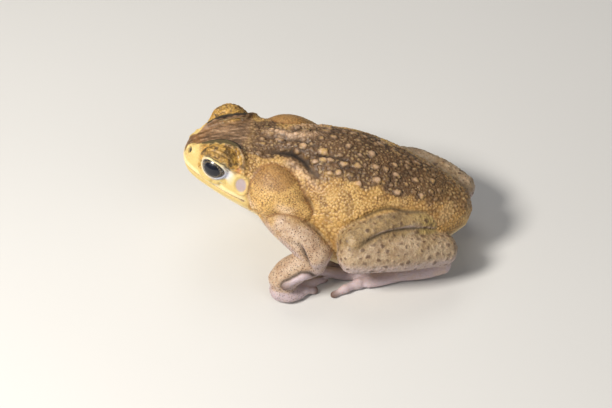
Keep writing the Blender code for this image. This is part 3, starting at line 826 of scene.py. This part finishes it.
def open_eye(at, side, m):
    """Draws the skin in round the eye, with a rolled rim that lies on the eyeball."""
    middle, looks, long_axis, short_axis = eye_frame(side)
    offset = at - middle
    reach = np.linalg.norm(offset, axis=1)
    near = reach < EYE_REACH
    reach = reach[near]
    way = offset[near] / reach[:, None]
    ahead = way @ looks
    front = ahead > 0
    angle = np.arctan2(way @ short_axis, way @ long_axis)
    over, rear = held(np.sin(angle)), held(np.cos(angle))
    edge = 1 / np.hypot(np.cos(angle) / OPENING[0], np.sin(angle) / OPENING[1])
    edge = np.arcsin(np.clip(edge / EYE_RADIUS, 0, 0.97))
    gap = (np.arccos(np.clip(ahead, -1, 1)) - edge) * EYE_RADIUS
    # A point close to the opening's edge moves onto it, so that the edge is clean
    snap = np.abs(gap) < EDGE_SNAP
    gap = np.where(snap, gap * EDGE_SHARE, gap)
    rim_width = 0.8 + 1.5 * rear * (1 - 0.7 * over) + 0.5 * (1 - over)
    rim_width = rim_width * (1 + 0.16 * ripple(at[near], 2.4, 6))
    roll = EYE_RADIUS + 0.1 + 0.42 * np.sqrt(held(1 - (1 - held(gap / 0.5)) ** 2))
    roll = roll - 0.25 * step(0.45, 1.0, gap / rim_width)
    inner = EYE_RADIUS - RIM_DEPTH
    rim = np.where(gap < 0, inner + (roll - inner) * step(-0.35, 0.0, gap), roll)
    far = step(EYE_RADIUS + 2.0, EYE_RADIUS + 5.0, reach) * step(0.2, 1.2, gap)
    outside = np.maximum(step(rim_width, rim_width + 2.4 - 1.2 * over, gap), far)
    shaped = rim + (np.maximum(reach, EYE_RADIUS + LID_LEAST) - rim) * outside
    wave = np.sin(2 * math.pi * (gap / LID_FOLDS + 0.22 * ripple(at[near], 3.0, 12)))
    band = step(0.1, 0.5, over) * step(1.2, 2.0, gap) * step(6.0, 4.0, gap) * front
    shaped = np.where(front, shaped + LID_FOLD_DEPTH * wave * band, reach)
    turned = (edge + gap / EYE_RADIUS)[:, None]
    tangent = unit(way - looks * ahead[:, None])
    way = np.where((snap & front)[:, None], looks * np.cos(turned) + tangent * np.sin(turned), way)
    moved = at.copy()
    moved[near] = middle + way * shaped[:, None]
    rim = front * step(-0.6, 0.0, gap) * (1 - step(rim_width - 0.4, rim_width + 0.9, gap)) * (1 - far)
    m.lift("rim", rim, near)
    m.lift("rim_blue", rim * (1 - over) * held(0.25 + 0.95 * rear), near)
    # Painted shade: a dark edge where the lid meets the eyeball, a dark line in the fold over the upper
    # lid, and darker troughs between the lid's folds
    m.lift("mouth", front * bell((gap + 0.05) / 0.22), near)
    m.lift("line", front * 0.9 * bell((gap - rim_width - 0.3) / 0.36) * step(0.05, 0.5, over), near)
    m.lift("line", 0.5 * step(-0.3, -0.95, wave) * band, near)
    return moved


def beside(at, place, looks, side):
    """How far each point is from a place on one side, and how far along each of its axes."""
    flip = np.array([side, 1, 1])
    offset = at - np.asarray(place) * flip
    return np.linalg.norm(offset, axis=1), *(offset @ (axis * flip) for axis in axes_of(looks))


def sink_nostril(at, normals, side, m):
    """A round pit with a low rim."""
    reach, out, back, up = beside(at, NOSTRIL, NOSTRIL_LOOKS, side)
    gap = np.hypot(back / NOSTRIL_RADII[0], up / NOSTRIL_RADII[1])
    near = (reach < 4) & (out > -2.5)
    # The pit is darkened in the paint as painted shade
    m.lift("nostril", near * step(1.35, 0.7, gap))
    pit = near * (2.0 * np.exp(-(gap**2) * 1.1) - 0.8 * bell((gap - 1.6) / 0.8))
    return at - normals * pit[:, None]


def shape_drum(at, normals, side, m):
    """The ear drum: a shallow dish with a raised rim."""
    reach, out, back, up = beside(at, TYMPANUM, TYMPANUM_OUT, side)
    gap = np.hypot(back / TYMPANUM_RADII[0], up / TYMPANUM_RADII[1])
    near = (reach < 8) & (out > -4)
    m.lift("drum", near * (1 - step(0.62, 0.95, gap)))
    m.lift("drum_rim", near * (1 - step(1.0, 1.35, gap)))
    rise = 0.4 * bell((gap - 1.05) / 0.16) - 0.35 * (1 - step(0.55, 1.0, gap))
    return at + normals * (near * rise)[:, None]


def cut_mouth(at, normals, m):
    """The line of the mouth, cut in under the roll of the lip."""
    level = at[:, 2] - (MOUTH_FRONT - MOUTH_FALL * at[:, 1])
    sides = step(MOUTH_END + 0.5, MOUTH_END - 1.5, at[:, 1])
    line = bell(level / MOUTH_WIDTH) * sides
    # The slit of the mouth is darkened in the material as painted shade
    m.lift("mouth", line)
    m.lift("lip", step(0.0, 0.5, level) * (1 - step(2.0, 3.2, level)) * sides)
    return at - normals * (MOUTH_DEPTH * line)[:, None]


def fold_skin(at, normals, tree, kind, m):
    """The folds and ridges, with painted shade in the folds and a painted shadow where each long toe lies
    on the arm and hand, and the black line of each crest, partly its own dark keratin and partly painted
    shade.
    """
    depth, line = fold_field(at, tree, [*GROOVES, *flipped(GROOVES), *SPINE_GROOVES])
    rise, _ = fold_field(at, tree, [*RIDGES, *SIDE_RIDGES, *flipped(SIDE_RIDGES)])
    m.fold = rise * (1 - kind.gland)
    calm = 1 - GLAND_CALM * kind.gland
    # Where a long toe lies on the arm and hand: a line of painted shadow, and a small dip in the skin
    contact = held(4.4 * kind.toe * (kind.fore + kind.hand + kind.arm))
    m.lift("line", np.maximum(line * calm, 0.8 * contact**1.5))
    rough = 0.32 * ripple(at, 1.8, 14)
    # The black line along the top of each crest: partly its own dark keratin, partly painted shade
    for side, wide in CREST_LINES:
        top = [(side * x, y, z + radius) for x, y, z, _, radius in along_rows(CREST, 40)]
        gap, place = line_gap(at, snapped(tree, top))
        gap = gap + rough
        width = wide * np.sqrt(np.sin(math.pi * held((place - 0.17) / 0.56)))
        m.lift("crest", step(0.3, -0.3, gap - width) * step(0.05, 0.3, width))
        m.lift("tail", step(1.8, 0.6, gap) * step(0.62, 0.72, place))
    return at + normals * (m.fold - (depth * calm + 0.45 * contact))[:, None]


def mark_regions(at, up, kind, m):
    """The masks of the body's regions, with ragged borders."""
    x, y, z = at.T
    ax = np.abs(x)
    wander, ragged = ripple(at, 7.0, 1), ripple(at, 2.6, 2)
    arm = kind.arm * step(*ARM_STARTS, ax + 2.5 * wander + 1.5 * ragged)
    m.update(up=up, wander=wander, ragged=ragged, gland=kind.gland)
    m.arm_skin = held(arm + kind.fore)
    m.limb = held(arm + kind.fore + kind.thigh + kind.shank + kind.tarsus)
    m.small = held(kind.hand + kind.foot + kind.finger + kind.toe)
    m.body = held(1 - m.limb - m.small - m.gland)
    m.head = step(3.5, -3.5, y - NECK - 1.8 * wander - 1.2 * ragged) * m.body
    m.torso = m.body - m.head
    m.past = ax - np.interp(y, *zip(*DORSAL_EDGE))
    m.dorsal = m.torso * step(1.6, -1.6, m.past - 1.5 * wander - 1.1 * ragged) * step(0.2, 0.5, up)
    m.under = step(-0.1, -0.6, up) * (m.body + m.gland)
    throat = m.body * step(0.35, -0.3, up) * step(*THROAT_TOP, z) * step(*THROAT_END, y)
    m.belly = held(m.under + throat)
    crest_x = np.interp(y, [row[1] for row in CREST], [row[0] for row in CREST])
    m.inner = step(0.5, -0.5, ax - crest_x + 1.5 * step(9, 5, y))
    brow = step(49.8, 51.6, z + 0.5 * wander) * step(7.5, 10.5, y) * step(32, 29, y)
    brow = m.head * (1 - m.inner) * brow
    m.lid_top = np.maximum(kind.lid * step(0.35, 0.7, up), brow) * (1 - m.rim) * (1 - m.crest)
    m.face = m.head * (1 - m.lid_top) * (1 - step(0.5, 0.85, up))
    m.legs = held(kind.thigh + kind.shank)
    m.spotted = (m.legs > 0.6) & (z > 5) & (up > -0.5)
    m.warty = (m.torso > 0.6) & (up > 0.1) & (z > 26) & (y > 27) & (m.line < 0.2)


def wart_places(draw):
    places = list(WARTS)
    for x, y, radius in WARTS:
        if x > 4.0:
            shift = draw.uniform(-WART_SHIFT, WART_SHIFT), draw.uniform(-WART_SHIFT, WART_SHIFT)
            places.append((-x + shift[0], y + shift[1], radius * draw.uniform(0.85, 1.1)))
    return places + SMALL_WARTS


def raise_warts(at, normals, tree, draw, m):
    """Large warts: those of the tables, then smaller ones between them."""
    wart_draw = np.random.default_rng(WART_SEED)
    warts = []
    for x, y, radius in wart_places(wart_draw):
        hit = tree.ray_cast((x, y, ABOVE_ALL), (0, 0, -1))[0]
        if hit is not None:
            warts.append((*hit, radius * 0.86, wart_draw.uniform(1.15, 1.6)))
    listed = np.array(warts)
    allowed = np.flatnonzero(m.warty)
    gap = 3.3 + 2.6 * (1 - m.dorsal[allowed]) * step(0, 8, m.past[allowed])
    for i in allowed[scatter(at[allowed], gap, draw)]:
        radius = draw.uniform(0.6, 1.25) * (0.75 + 0.3 * m.dorsal[i])
        if (np.linalg.norm(listed[:, :3] - at[i], axis=1) - listed[:, 3]).min() > radius * 0.9:
            warts.append((*at[i], radius, draw.uniform(1.0, 1.35)))
    warts = np.array(warts)
    which, _ = nearest(at, warts[:, :3])
    x, y, z, radius, long = warts[which].T
    offset = at - np.stack([x, y, z], axis=1) + 0.2 * wobble(at, 2.0, 31)
    share = np.sqrt(offset[:, 0] ** 2 + (offset[:, 1] / long) ** 2 + offset[:, 2] ** 2)
    share = share / (radius * (1 + 0.09 * ripple(at, 1.6, 3)))
    bump = dome(share, 1.1, 0.75) * radius * 0.34
    moat = 0.25 * bell((share - 1.2) / 0.22) * np.minimum(radius / 2, 1)
    plain = np.where(which < len(WARTS), 1.0, np.where(which < len(listed), 0.75, 0.3))
    m.wart = step(0.95, 0.3, share) * m.body * plain
    # ring: a band round each wart's base, darkened in the material as painted shade
    m.ring = bell((share - 1.22) / 0.26) * np.minimum(radius / 1.6, 1) * m.torso * (0.4 + 0.6 * plain)
    return at + normals * ((bump - moat) * m.torso)[:, None]


def raise_granules(at, normals, warp, draw, m):
    """Granules, set close all over, of uneven outline."""
    coarse = 1 + 0.3 * ripple(at, 8.0, 4)
    apart = np.clip(m.total(GRAIN_GAPS, GRAIN_GAP) * coarse, *GRAIN_GAP_LIMITS)
    size = m.total(GRAIN_SIZES) + 0.13 * m.head * (1 - m.face) * (1 - m.lid_top) + 0.06 * m.face
    size = size * (0.85 + 0.3 * np.clip(coarse, 0.6, 1.4))
    for name, share in GRAIN_CALM.items():
        size = size * (1 - share * m[name])
    picked = scatter(at, apart, draw)
    which, gap = nearest(at + 0.22 * warp, at[picked])
    big = draw.uniform(0.35, 1.25, len(picked))
    local = apart[picked][which]
    bead = dome(gap, 0.66 * local, 0.8)
    keen = held(size / 0.3)
    # grain: the granules' tops, paler in the material, partly their own tone and partly painted highlight
    m.grain = bead * keen * (0.35 + 0.65 * draw.random(len(picked))[which])
    deep = np.maximum(keen, 0.9 * m.gland) * (0.45 + 0.55 * step(-0.7, 0.7, ripple(at, 3.4, 9)))
    # pit: the gaps between granules, darkened in the material as painted shade
    m.pit = step(0.44, 0.76, gap / local) * deep
    return at + normals * (size * big[which] * (bead - 0.35))[:, None]


def raise_spots(at, normals, warp, draw, m):
    """Spots of the hind legs, each on a low wart."""
    allowed = np.flatnonzero(m.spotted)
    apart = SPOT_GAP * (1 + 0.25 * ripple(at[allowed], 9.0, 5))
    picked = allowed[scatter(at[allowed], apart, draw)]
    which, gap = nearest(at + 0.3 * warp, at[picked])
    radius = (0.6 + 0.75 * draw.random(len(picked)))[which]
    force = draw.uniform(0.5, 1.0, len(picked))[which]
    m.spot = step(radius * 1.3, radius * 0.35, gap) * force * step(0.4, 0.8, m.legs)
    return at + normals * (SPOT_RISE * dome(gap, radius * 1.5) * m.legs)[:, None]


def detail_skin(mesh, kind):
    """Folds, lids, warts and granules, as moves of the skin and as masks for its colours."""
    draw = np.random.default_rng(SEED)
    at = points_of(mesh)
    m = Masks({name: np.zeros(len(at)) for name in LIFTED_MASKS})
    tree = BVHTree.FromPolygons(at.tolist(), quads_of(mesh, "vertex_index").tolist())
    at = fold_skin(at, normals_of(mesh, at), tree, kind, m)
    normals = normals_of(mesh, at)
    at = cut_mouth(at, normals, m)
    for side in (1, -1):
        at = shape_drum(at, normals, side, m)
        at = sink_nostril(at, normals, side, m)
    for side in (1, -1):
        at = open_eye(at, side, m)
    normals = normals_of(mesh, at)
    mark_regions(at, normals[:, 2], kind, m)
    at = raise_warts(at, normals, tree, draw, m)
    normals = normals_of(mesh, at)
    warp = wobble(at, 1.3, 21)
    at = raise_granules(at, normals, warp, draw, m)
    at = raise_spots(at, normals, warp, draw, m)
    low = np.minimum(at[:, 2] - FLOOR_EASE, 0)
    at[:, 2] = np.where(low < 0, FLOOR_EASE * np.exp(low * 1.2), at[:, 2])
    return at, m


def linear(name):
    """A named colour as scene-linear red, green and blue."""
    value = np.array(COLOURS[name]) / 255
    return np.where(value <= 0.04045, value / 12.92, ((value + 0.055) / 1.055) ** 2.4)


def rgba(name):
    return (*linear(name), 1.0)


def paint(mesh, at, kind, m):
    """The skin's base colour and its darker partner, with the masks that the material reads."""
    _, y, z = at.T
    up, wander, gland = m.up, m.wander, m.gland
    tint, dark = (np.tile(linear(name), (len(at), 1)) for name in ("flank", "flank_dark"))

    def lay(tone, shade, share):
        nonlocal tint, dark
        tint, dark = mix(tint, linear(tone), held(share)), mix(dark, linear(shade), held(share))

    # Trunk
    lay("rump", "back", m.torso * step(*RUMP, y) * step(0.1, 0.5, up))
    lay("flank_deep", "flank_dark", 0.7 * m.torso * step(-0.3, 0.8, wander + 0.4 * step(40, 34, z)))
    patches = step(0.15, 1.0, ripple(at, 5.0, 19) + 0.5 * ripple(at, 2.2, 20))
    lay("flank_dark", "back_dark", 0.42 * patches * m.torso * (1 - m.belly))
    lay("back", "back_dark", m.dorsal * (1 - 0.35 * step(*TAIL_END, y)))
    lay("belly", "flank", m.belly * (1 - m.limb))
    lay("gland", "flank_dark", gland)

    # Crown, with lengthwise streaks, then the face, the lids and the lips
    flat_top = step(0.5, 0.78, up + 0.06 * wander) * step(*NAPE, y)
    crown = m.head * np.maximum(m.inner * step(*CROWN_RISE, z), flat_top)
    lay("trough", "back_dark", crown)
    lay("snout", "back", crown * step(*SNOUT_PATCH, y + wander))
    lay("back", "back_dark", crown * 0.75 * step(0.1, 0.9, wander + step(20, 30, y)))
    long_at = at * STREAK_SQUEEZE
    streak = ripple(long_at, 1.7, 15) + 0.5 * ripple(long_at, 0.9, 16)
    lay("wart", "back", 0.45 * crown * step(0.2, 1.3, streak))
    lay("back_dark", "black", 0.5 * crown * step(0.2, 1.3, -streak))
    lay("face", "flank", m.head - crown)
    lay("lid", "back_dark", m.lid_top)
    blotch = step(0.1, 0.9, ripple(at, 2.2, 17) + 0.6 * ripple(at, 1.1, 18))
    lay("back_dark", "black", 0.7 * m.lid_top * blotch)
    lay("back", "back_dark", 0.65 * m.tail * m.head)
    lay("lip", "face", m.lip * m.head)
    lay("belly", "lip", m.head * step(-0.1, -0.5, up))

    # Limbs
    lay("arm", "snout", m.arm_skin)
    lay("leg", "back", kind.thigh + kind.shank)
    lay("thigh", "back_dark", kind.thigh * step(-0.2, 0.5, up + 0.3 * wander))
    lay("thigh_end", "back", 0.7 * kind.thigh * step(100, 112, y + 2 * wander))
    worn = step(-0.2, 0.9, wander + 0.6 * m.ragged) * step(0.2, 0.7, up)
    lay("thigh", "back", 0.55 * kind.shank * worn)
    lay("pale", "arm", kind.tarsus + m.small)
    lay("pale", "arm", 0.75 * m.limb * step(0.3, -0.35, up))
    lay("tip", "black", 0.9 * step(0.7, 0.92, kind.tips))

    # Ear drum, rim of the eye, gland, the spot behind the eye, ridges and nostril
    lay("drum", "arm", m.drum)
    lay("face", "flank", (m.drum_rim - m.drum) * 0.8)
    lay("lip", "face", m.rim)
    lay("rim", "pale", m.rim_blue)
    # The gland's rim and top darker: partly its own darker border, partly painted shade in the crease round
    # it
    lay("gland_edge", "back_dark", 0.85 * held(3.6 * gland * (1 - gland)) * step(-0.2, 0.3, up))
    lay("gland_edge", "back_dark", 0.6 * gland * step(0.55, 0.85, up + 0.08 * wander))
    lay("gland_pale", "flank", 0.85 * gland * step(0.6, 0.2, up) * step(-0.4, 0.6, wander + 0.3))
    lay("orange", "flank_dark", 0.6 * m.head * bell((y - 27.2) / 1.3) * bell((z - 51.3) / 1.1))
    lay("wart", "back", 0.75 * held(m.fold) * m.torso)
    # The nostril's pit darkened: painted shade
    lay("nostril", "black", m.nostril)

    m.mottle = m.total(MOTTLE, 0.25) + 0.3 * crown - 0.15 * m.belly
    # Less painted shade in the gaps between granules on the belly and the limbs
    m.pit = m.pit * (1 - 0.6 * m.belly) * (1 - 0.5 * m.limb)
    m.wart = m.wart * m.torso
    # The crests' black lines join the painted shade of the folds
    m.line = np.maximum(m.line, 0.95 * m.crest)
    m.pores = gland * (1 - 0.7 * step(0.7, 0.9, up + 0.1 * wander))
    m.dots = m.arm_skin + 0.6 * kind.hand + 0.35 * (kind.thigh + kind.shank)
    for name in ("mottle", "grain", "pit", "wart", "ring", "line", "mouth", "spot", "pores", "dots"):
        write_field(mesh, name, "FLOAT", "value", held(m[name]))
    for name, colour in (("tint", tint), ("shade", dark)):
        write_field(mesh, name, "FLOAT_COLOR", "color", np.column_stack([colour, np.ones(len(at))]))


class Nodes:
    """Short ways to write a node tree."""

    def __init__(self, name):
        self.material = bpy.data.materials.new(name)
        self.material.use_nodes = True
        self.tree = self.material.node_tree
        self.shader = self.tree.nodes["Principled BSDF"]

    def put(self, node, inputs):
        """Links or sets each named input."""
        for key, value in inputs.items():
            if isinstance(value, bpy.types.NodeSocket):
                self.tree.links.new(value, node.inputs[key])
            else:
                node.inputs[key].default_value = value

    def node(self, kind, inputs=(), **settings):
        made = self.tree.nodes.new(kind)
        for key, value in settings.items():
            setattr(made, key, value)
        self.put(made, dict(inputs))
        return made

    def field(self, name, output="Fac"):
        return self.node("ShaderNodeAttribute", attribute_name=name).outputs[output]

    def math(self, operation, *values, clamp=False):
        made = self.node("ShaderNodeMath", enumerate(values), operation=operation, use_clamp=clamp)
        return made.outputs[0]

    def times(self, a, b, *added):
        return self.math("MULTIPLY_ADD" if added else "MULTIPLY", a, b, *added)

    def blend(self, share, a, b):
        inputs = {"Factor": share, "A": a, "B": b}
        return self.node("ShaderNodeMix", inputs, data_type="RGBA").outputs["Result"]

    def over(self, colour, share, amount, tone):
        """The colour with a tone laid over it."""
        return self.blend(self.times(share, amount), colour, rgba(tone) if isinstance(tone, str) else tone)

    def noise(self, place, scale, detail, rough):
        inputs = {"Vector": place, "Scale": scale, "Detail": detail, "Roughness": rough}
        return self.node("ShaderNodeTexNoise", inputs).outputs["Fac"]

    def shaken(self, place, scale, amount):
        """The place moved a little by noise, so that dots lose their even outlines."""
        shift = self.node("ShaderNodeTexNoise", {"Vector": place, "Scale": scale}).outputs["Color"]
        inputs = {0: shift, 1: (amount,) * 3, 2: place}
        return self.node("ShaderNodeVectorMath", inputs, operation="MULTIPLY_ADD").outputs["Vector"]

    def cells(self, place, scale):
        """How far each place is from the middle of its cell."""
        return self.node("ShaderNodeTexVoronoi", {"Vector": place, "Scale": scale}).outputs["Distance"]

    def ramp(self, value, low, high):
        """A smooth rise from 0 at low to 1 at high, or a fall where low is above high."""
        rise = float(low < high)
        inputs = {"Value": value, "From Min": min(low, high), "From Max": max(low, high)}
        inputs.update({"To Min": 1.0 - rise, "To Max": rise})
        return self.node("ShaderNodeMapRange", inputs, interpolation_type="SMOOTHSTEP").outputs["Result"]

    def bump(self, height, distance, strength, *normal):
        inputs = {"Height": height, "Distance": distance, "Strength": strength}
        inputs.update(("Normal", socket) for socket in normal)
        return self.node("ShaderNodeBump", inputs).outputs["Normal"]


def skin_material():
    n = Nodes("toad_skin")
    place = n.node("ShaderNodeTexCoord").outputs["Object"]
    broad, middle, fine, finest = (n.noise(place, *row) for row in SKIN_NOISES)
    mottle, grain, line, spot = (n.field(name) for name in ("mottle", "grain", "line", "spot"))
    shade = n.field("shade", "Color")

    # Ground colour, mottled by noise of three sizes
    patchy = n.ramp(n.times(middle, 0.55, n.times(broad, 0.45)), 0.42, 0.62)
    colour = n.blend(n.times(patchy, mottle), n.field("tint", "Color"), shade)
    speckle = n.times(n.ramp(fine, 0.56, 0.7), n.times(mottle, 0.4, 0.12))
    colour = n.blend(speckle, colour, shade)

    # Granules: paler on top, partly their own tone and partly painted highlight, with painted shade in the
    # gaps
    colour = n.over(colour, n.field("pit"), 0.8, n.blend(0.5, shade, rgba("flank_dark")))
    colour = n.over(colour, n.ramp(grain, 0.35, 0.9), 0.45, "grain")

    # Large warts, with painted shade in a ring round the base of each
    colour = n.over(colour, n.field("ring"), 0.62, "back_dark")
    wart_tone = n.blend(n.ramp(middle, 0.4, 0.65), rgba("wart"), rgba("flank"))
    colour = n.over(colour, n.field("wart"), 0.72, wart_tone)

    # Pores of the glands, small dots of the arms, spots of the legs
    uneven = n.shaken(place, 1500, 0.0009)
    pores = n.times(n.ramp(n.cells(uneven, 1380), 0.37, 0.22), n.field("pores"))
    dots = n.times(n.ramp(n.cells(uneven, 1200), 0.37, 0.24), n.field("dots"))
    spots = n.times(spot, n.ramp(n.math("ADD", spot, n.times(fine, 0.6)), 0.45, 0.9))
    for share, amount in ((pores, 0.75), (dots, 0.85), (spots, 0.85)):
        colour = n.over(colour, share, amount, "spot")

    # Painted shade in the folds, round the eye's opening, where the long toes lie on the hands and in the
    # slit of the mouth; the crests' black lines, partly their own keratin and partly painted shade
    colour = n.over(colour, line, 0.94, "black")
    colour = n.over(colour, n.field("mouth"), 0.75, "spot")

    rough = n.times(line, 0.5, n.times(middle, 0.3, 0.36))
    normal = n.bump(n.math("SUBTRACT", 1.0, n.cells(place, 2100)), 0.00012, 0.55)
    for row in ((fine, 0.0002, 0.5), (finest, 0.00008, 0.35), (n.times(pores, -1.0), 0.0002, 0.6)):
        normal = n.bump(*row, normal)
    inputs = {
        "Base Color": colour,
        "Roughness": n.math("MULTIPLY_ADD", grain, -0.1, rough, clamp=True),
        "Specular IOR Level": 0.5,
        "Subsurface Weight": 0.12,
        "Subsurface Radius": (1.0, 0.45, 0.25),
        "Subsurface Scale": 0.0012,
        "Normal": normal,
    }
    n.put(n.shader, inputs)
    return n.material


def placed(at):
    """Table coordinates as the scene's."""
    return (at - (0, ORIGIN_Y, 0)) * MM


def finished(name, mesh, material):
    """A piece of the scene, smooth and with its material."""
    mesh.update()
    mesh.shade_smooth()
    mesh.materials.append(material)
    return linked(name, mesh)


def build_skin():
    mesh, kind = base_skin()
    at, m = detail_skin(mesh, kind)
    paint(mesh, at, kind, m)
    write(mesh.vertices, "co", placed(at))
    skin = finished("skin", mesh, skin_material())
    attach(skin, "root")
    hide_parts(*FLESH)


def eye_material():
    n = Nodes("toad_eye")
    place = n.field("place", "Vector")
    split = n.node("ShaderNodeSeparateXYZ", {0: place}).outputs
    grainy = n.noise(place, 26, 4, 0.7)
    ways = [n.math("POWER", n.math("DIVIDE", split[k], half), 2.0) for k, half in PUPIL_SHAPE.items()]
    radial = n.math("SQRT", n.math("ADD", *ways))
    pupil = n.ramp(n.times(grainy, 0.12, radial), 1.12, 0.98)
    flecks = n.times(n.ramp(n.cells(place, 17), 0.5, 0.25), n.ramp(grainy, 0.42, 0.6))
    ring = n.times(n.ramp(radial, 1.3, 1.12), n.ramp(radial, 1.0, 1.08))
    iris = n.over(n.blend(flecks, IRIS, IRIS_FLECKS), ring, 0.35, IRIS_RING)
    inputs = {
        "Base Color": n.blend(pupil, iris, PUPIL),
        "Roughness": n.times(grainy, 0.2, 0.2),
        "Coat Weight": 0.7,
        "Coat Roughness": 0.02,
        "Specular IOR Level": 0.25,
        "Normal": n.bump(grainy, 0.0003, 0.3),
    }
    n.put(n.shader, inputs)
    return n.material


def from_bmesh(name, make, **sizes):
    bm = bmesh.new()
    make(bm, **sizes)
    mesh = bpy.data.meshes.new(name)
    bm.to_mesh(mesh)
    bm.free()
    return mesh


def build_eyes():
    material = eye_material()
    for name, side in (("left", 1), ("right", -1)):
        middle, *axes = eye_frame(side)
        piece = f"eyeball_{name}"
        mesh = from_bmesh(piece, bmesh.ops.create_uvsphere, u_segments=96, v_segments=64, radius=1.0)
        local = unit(points_of(mesh)[:, [2, 0, 1]])
        bulge = 1 + CORNEA_BULGE * step(0.45, 0.9, local[:, :1])
        if side < 0:
            mesh.flip_normals()
        write(mesh.vertices, "co", placed(middle + (local * bulge * EYE_RADIUS) @ np.stack(axes)))
        write_field(mesh, "place", "FLOAT_VECTOR", "vector", local)
        eye = finished(piece, mesh, material)
        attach(eye, "root")
        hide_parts(f"eye_{name}")


def looking_in(azimuth, elevation, distance, target=(0, 0, 0)):
    """A place round the target, turned to look at it. Azimuth 0 is in front of the toad, 90 at its left."""
    azimuth, elevation = math.radians(azimuth), math.radians(elevation)
    flat = math.cos(elevation)
    back = Vector((math.sin(azimuth) * flat, -math.cos(azimuth) * flat, math.sin(elevation)))
    right = Vector(UPRIGHT).cross(back).normalized()
    turn = Matrix((right, back.cross(right), back)).transposed()
    return Matrix.Translation(Vector(target) + back * distance) @ turn.to_4x4()


def build_camera():
    data = bpy.data.cameras.new("camera")
    data.lens = CAMERA_LENS
    data.sensor_width = CAMERA_SENSOR
    data.shift_x, data.shift_y = CAMERA_SHIFT
    data.clip_start = CAMERA_CLIP
    camera = linked("camera", data)
    camera.matrix_world = looking_in(*CAMERA_PLACE, CAMERA_TARGET)
    bpy.context.scene.camera = camera


def build_studio():
    mesh = from_bmesh("floor", bmesh.ops.create_grid, x_segments=1, y_segments=1, size=FLOOR_SIZE)
    n = Nodes("studio_floor")
    uneven = n.noise(n.node("ShaderNodeTexCoord").outputs["Object"], 3, 2, 0.55)
    n.put(n.shader, {"Base Color": n.blend(uneven, *FLOOR_TONES), "Roughness": 0.8})
    mesh.materials.append(n.material)
    linked("floor", mesh)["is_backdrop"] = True
    world = bpy.data.worlds.new("studio")
    world.use_nodes = True
    sky = world.node_tree.nodes["Background"].inputs
    sky["Color"].default_value, sky["Strength"].default_value = SKY
    bpy.context.scene.world = world
    bpy.context.scene.view_settings.view_transform = "Standard"
    for name, place, size, power, colour in LIGHTS:
        data = bpy.data.lights.new(name, "AREA")
        data.shape = "DISK"
        data.size, data.energy, data.color = size, power, colour
        linked(name, data).matrix_world = looking_in(*place)


def write_sizes():
    boxes = {"cad": cad_box, "visual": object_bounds()}
    sizes = {name: [list(corner) for corner in corners] for name, corners in boxes.items()}


build_camera()
build_studio()
build_skin()
build_eyes()
write_sizes()
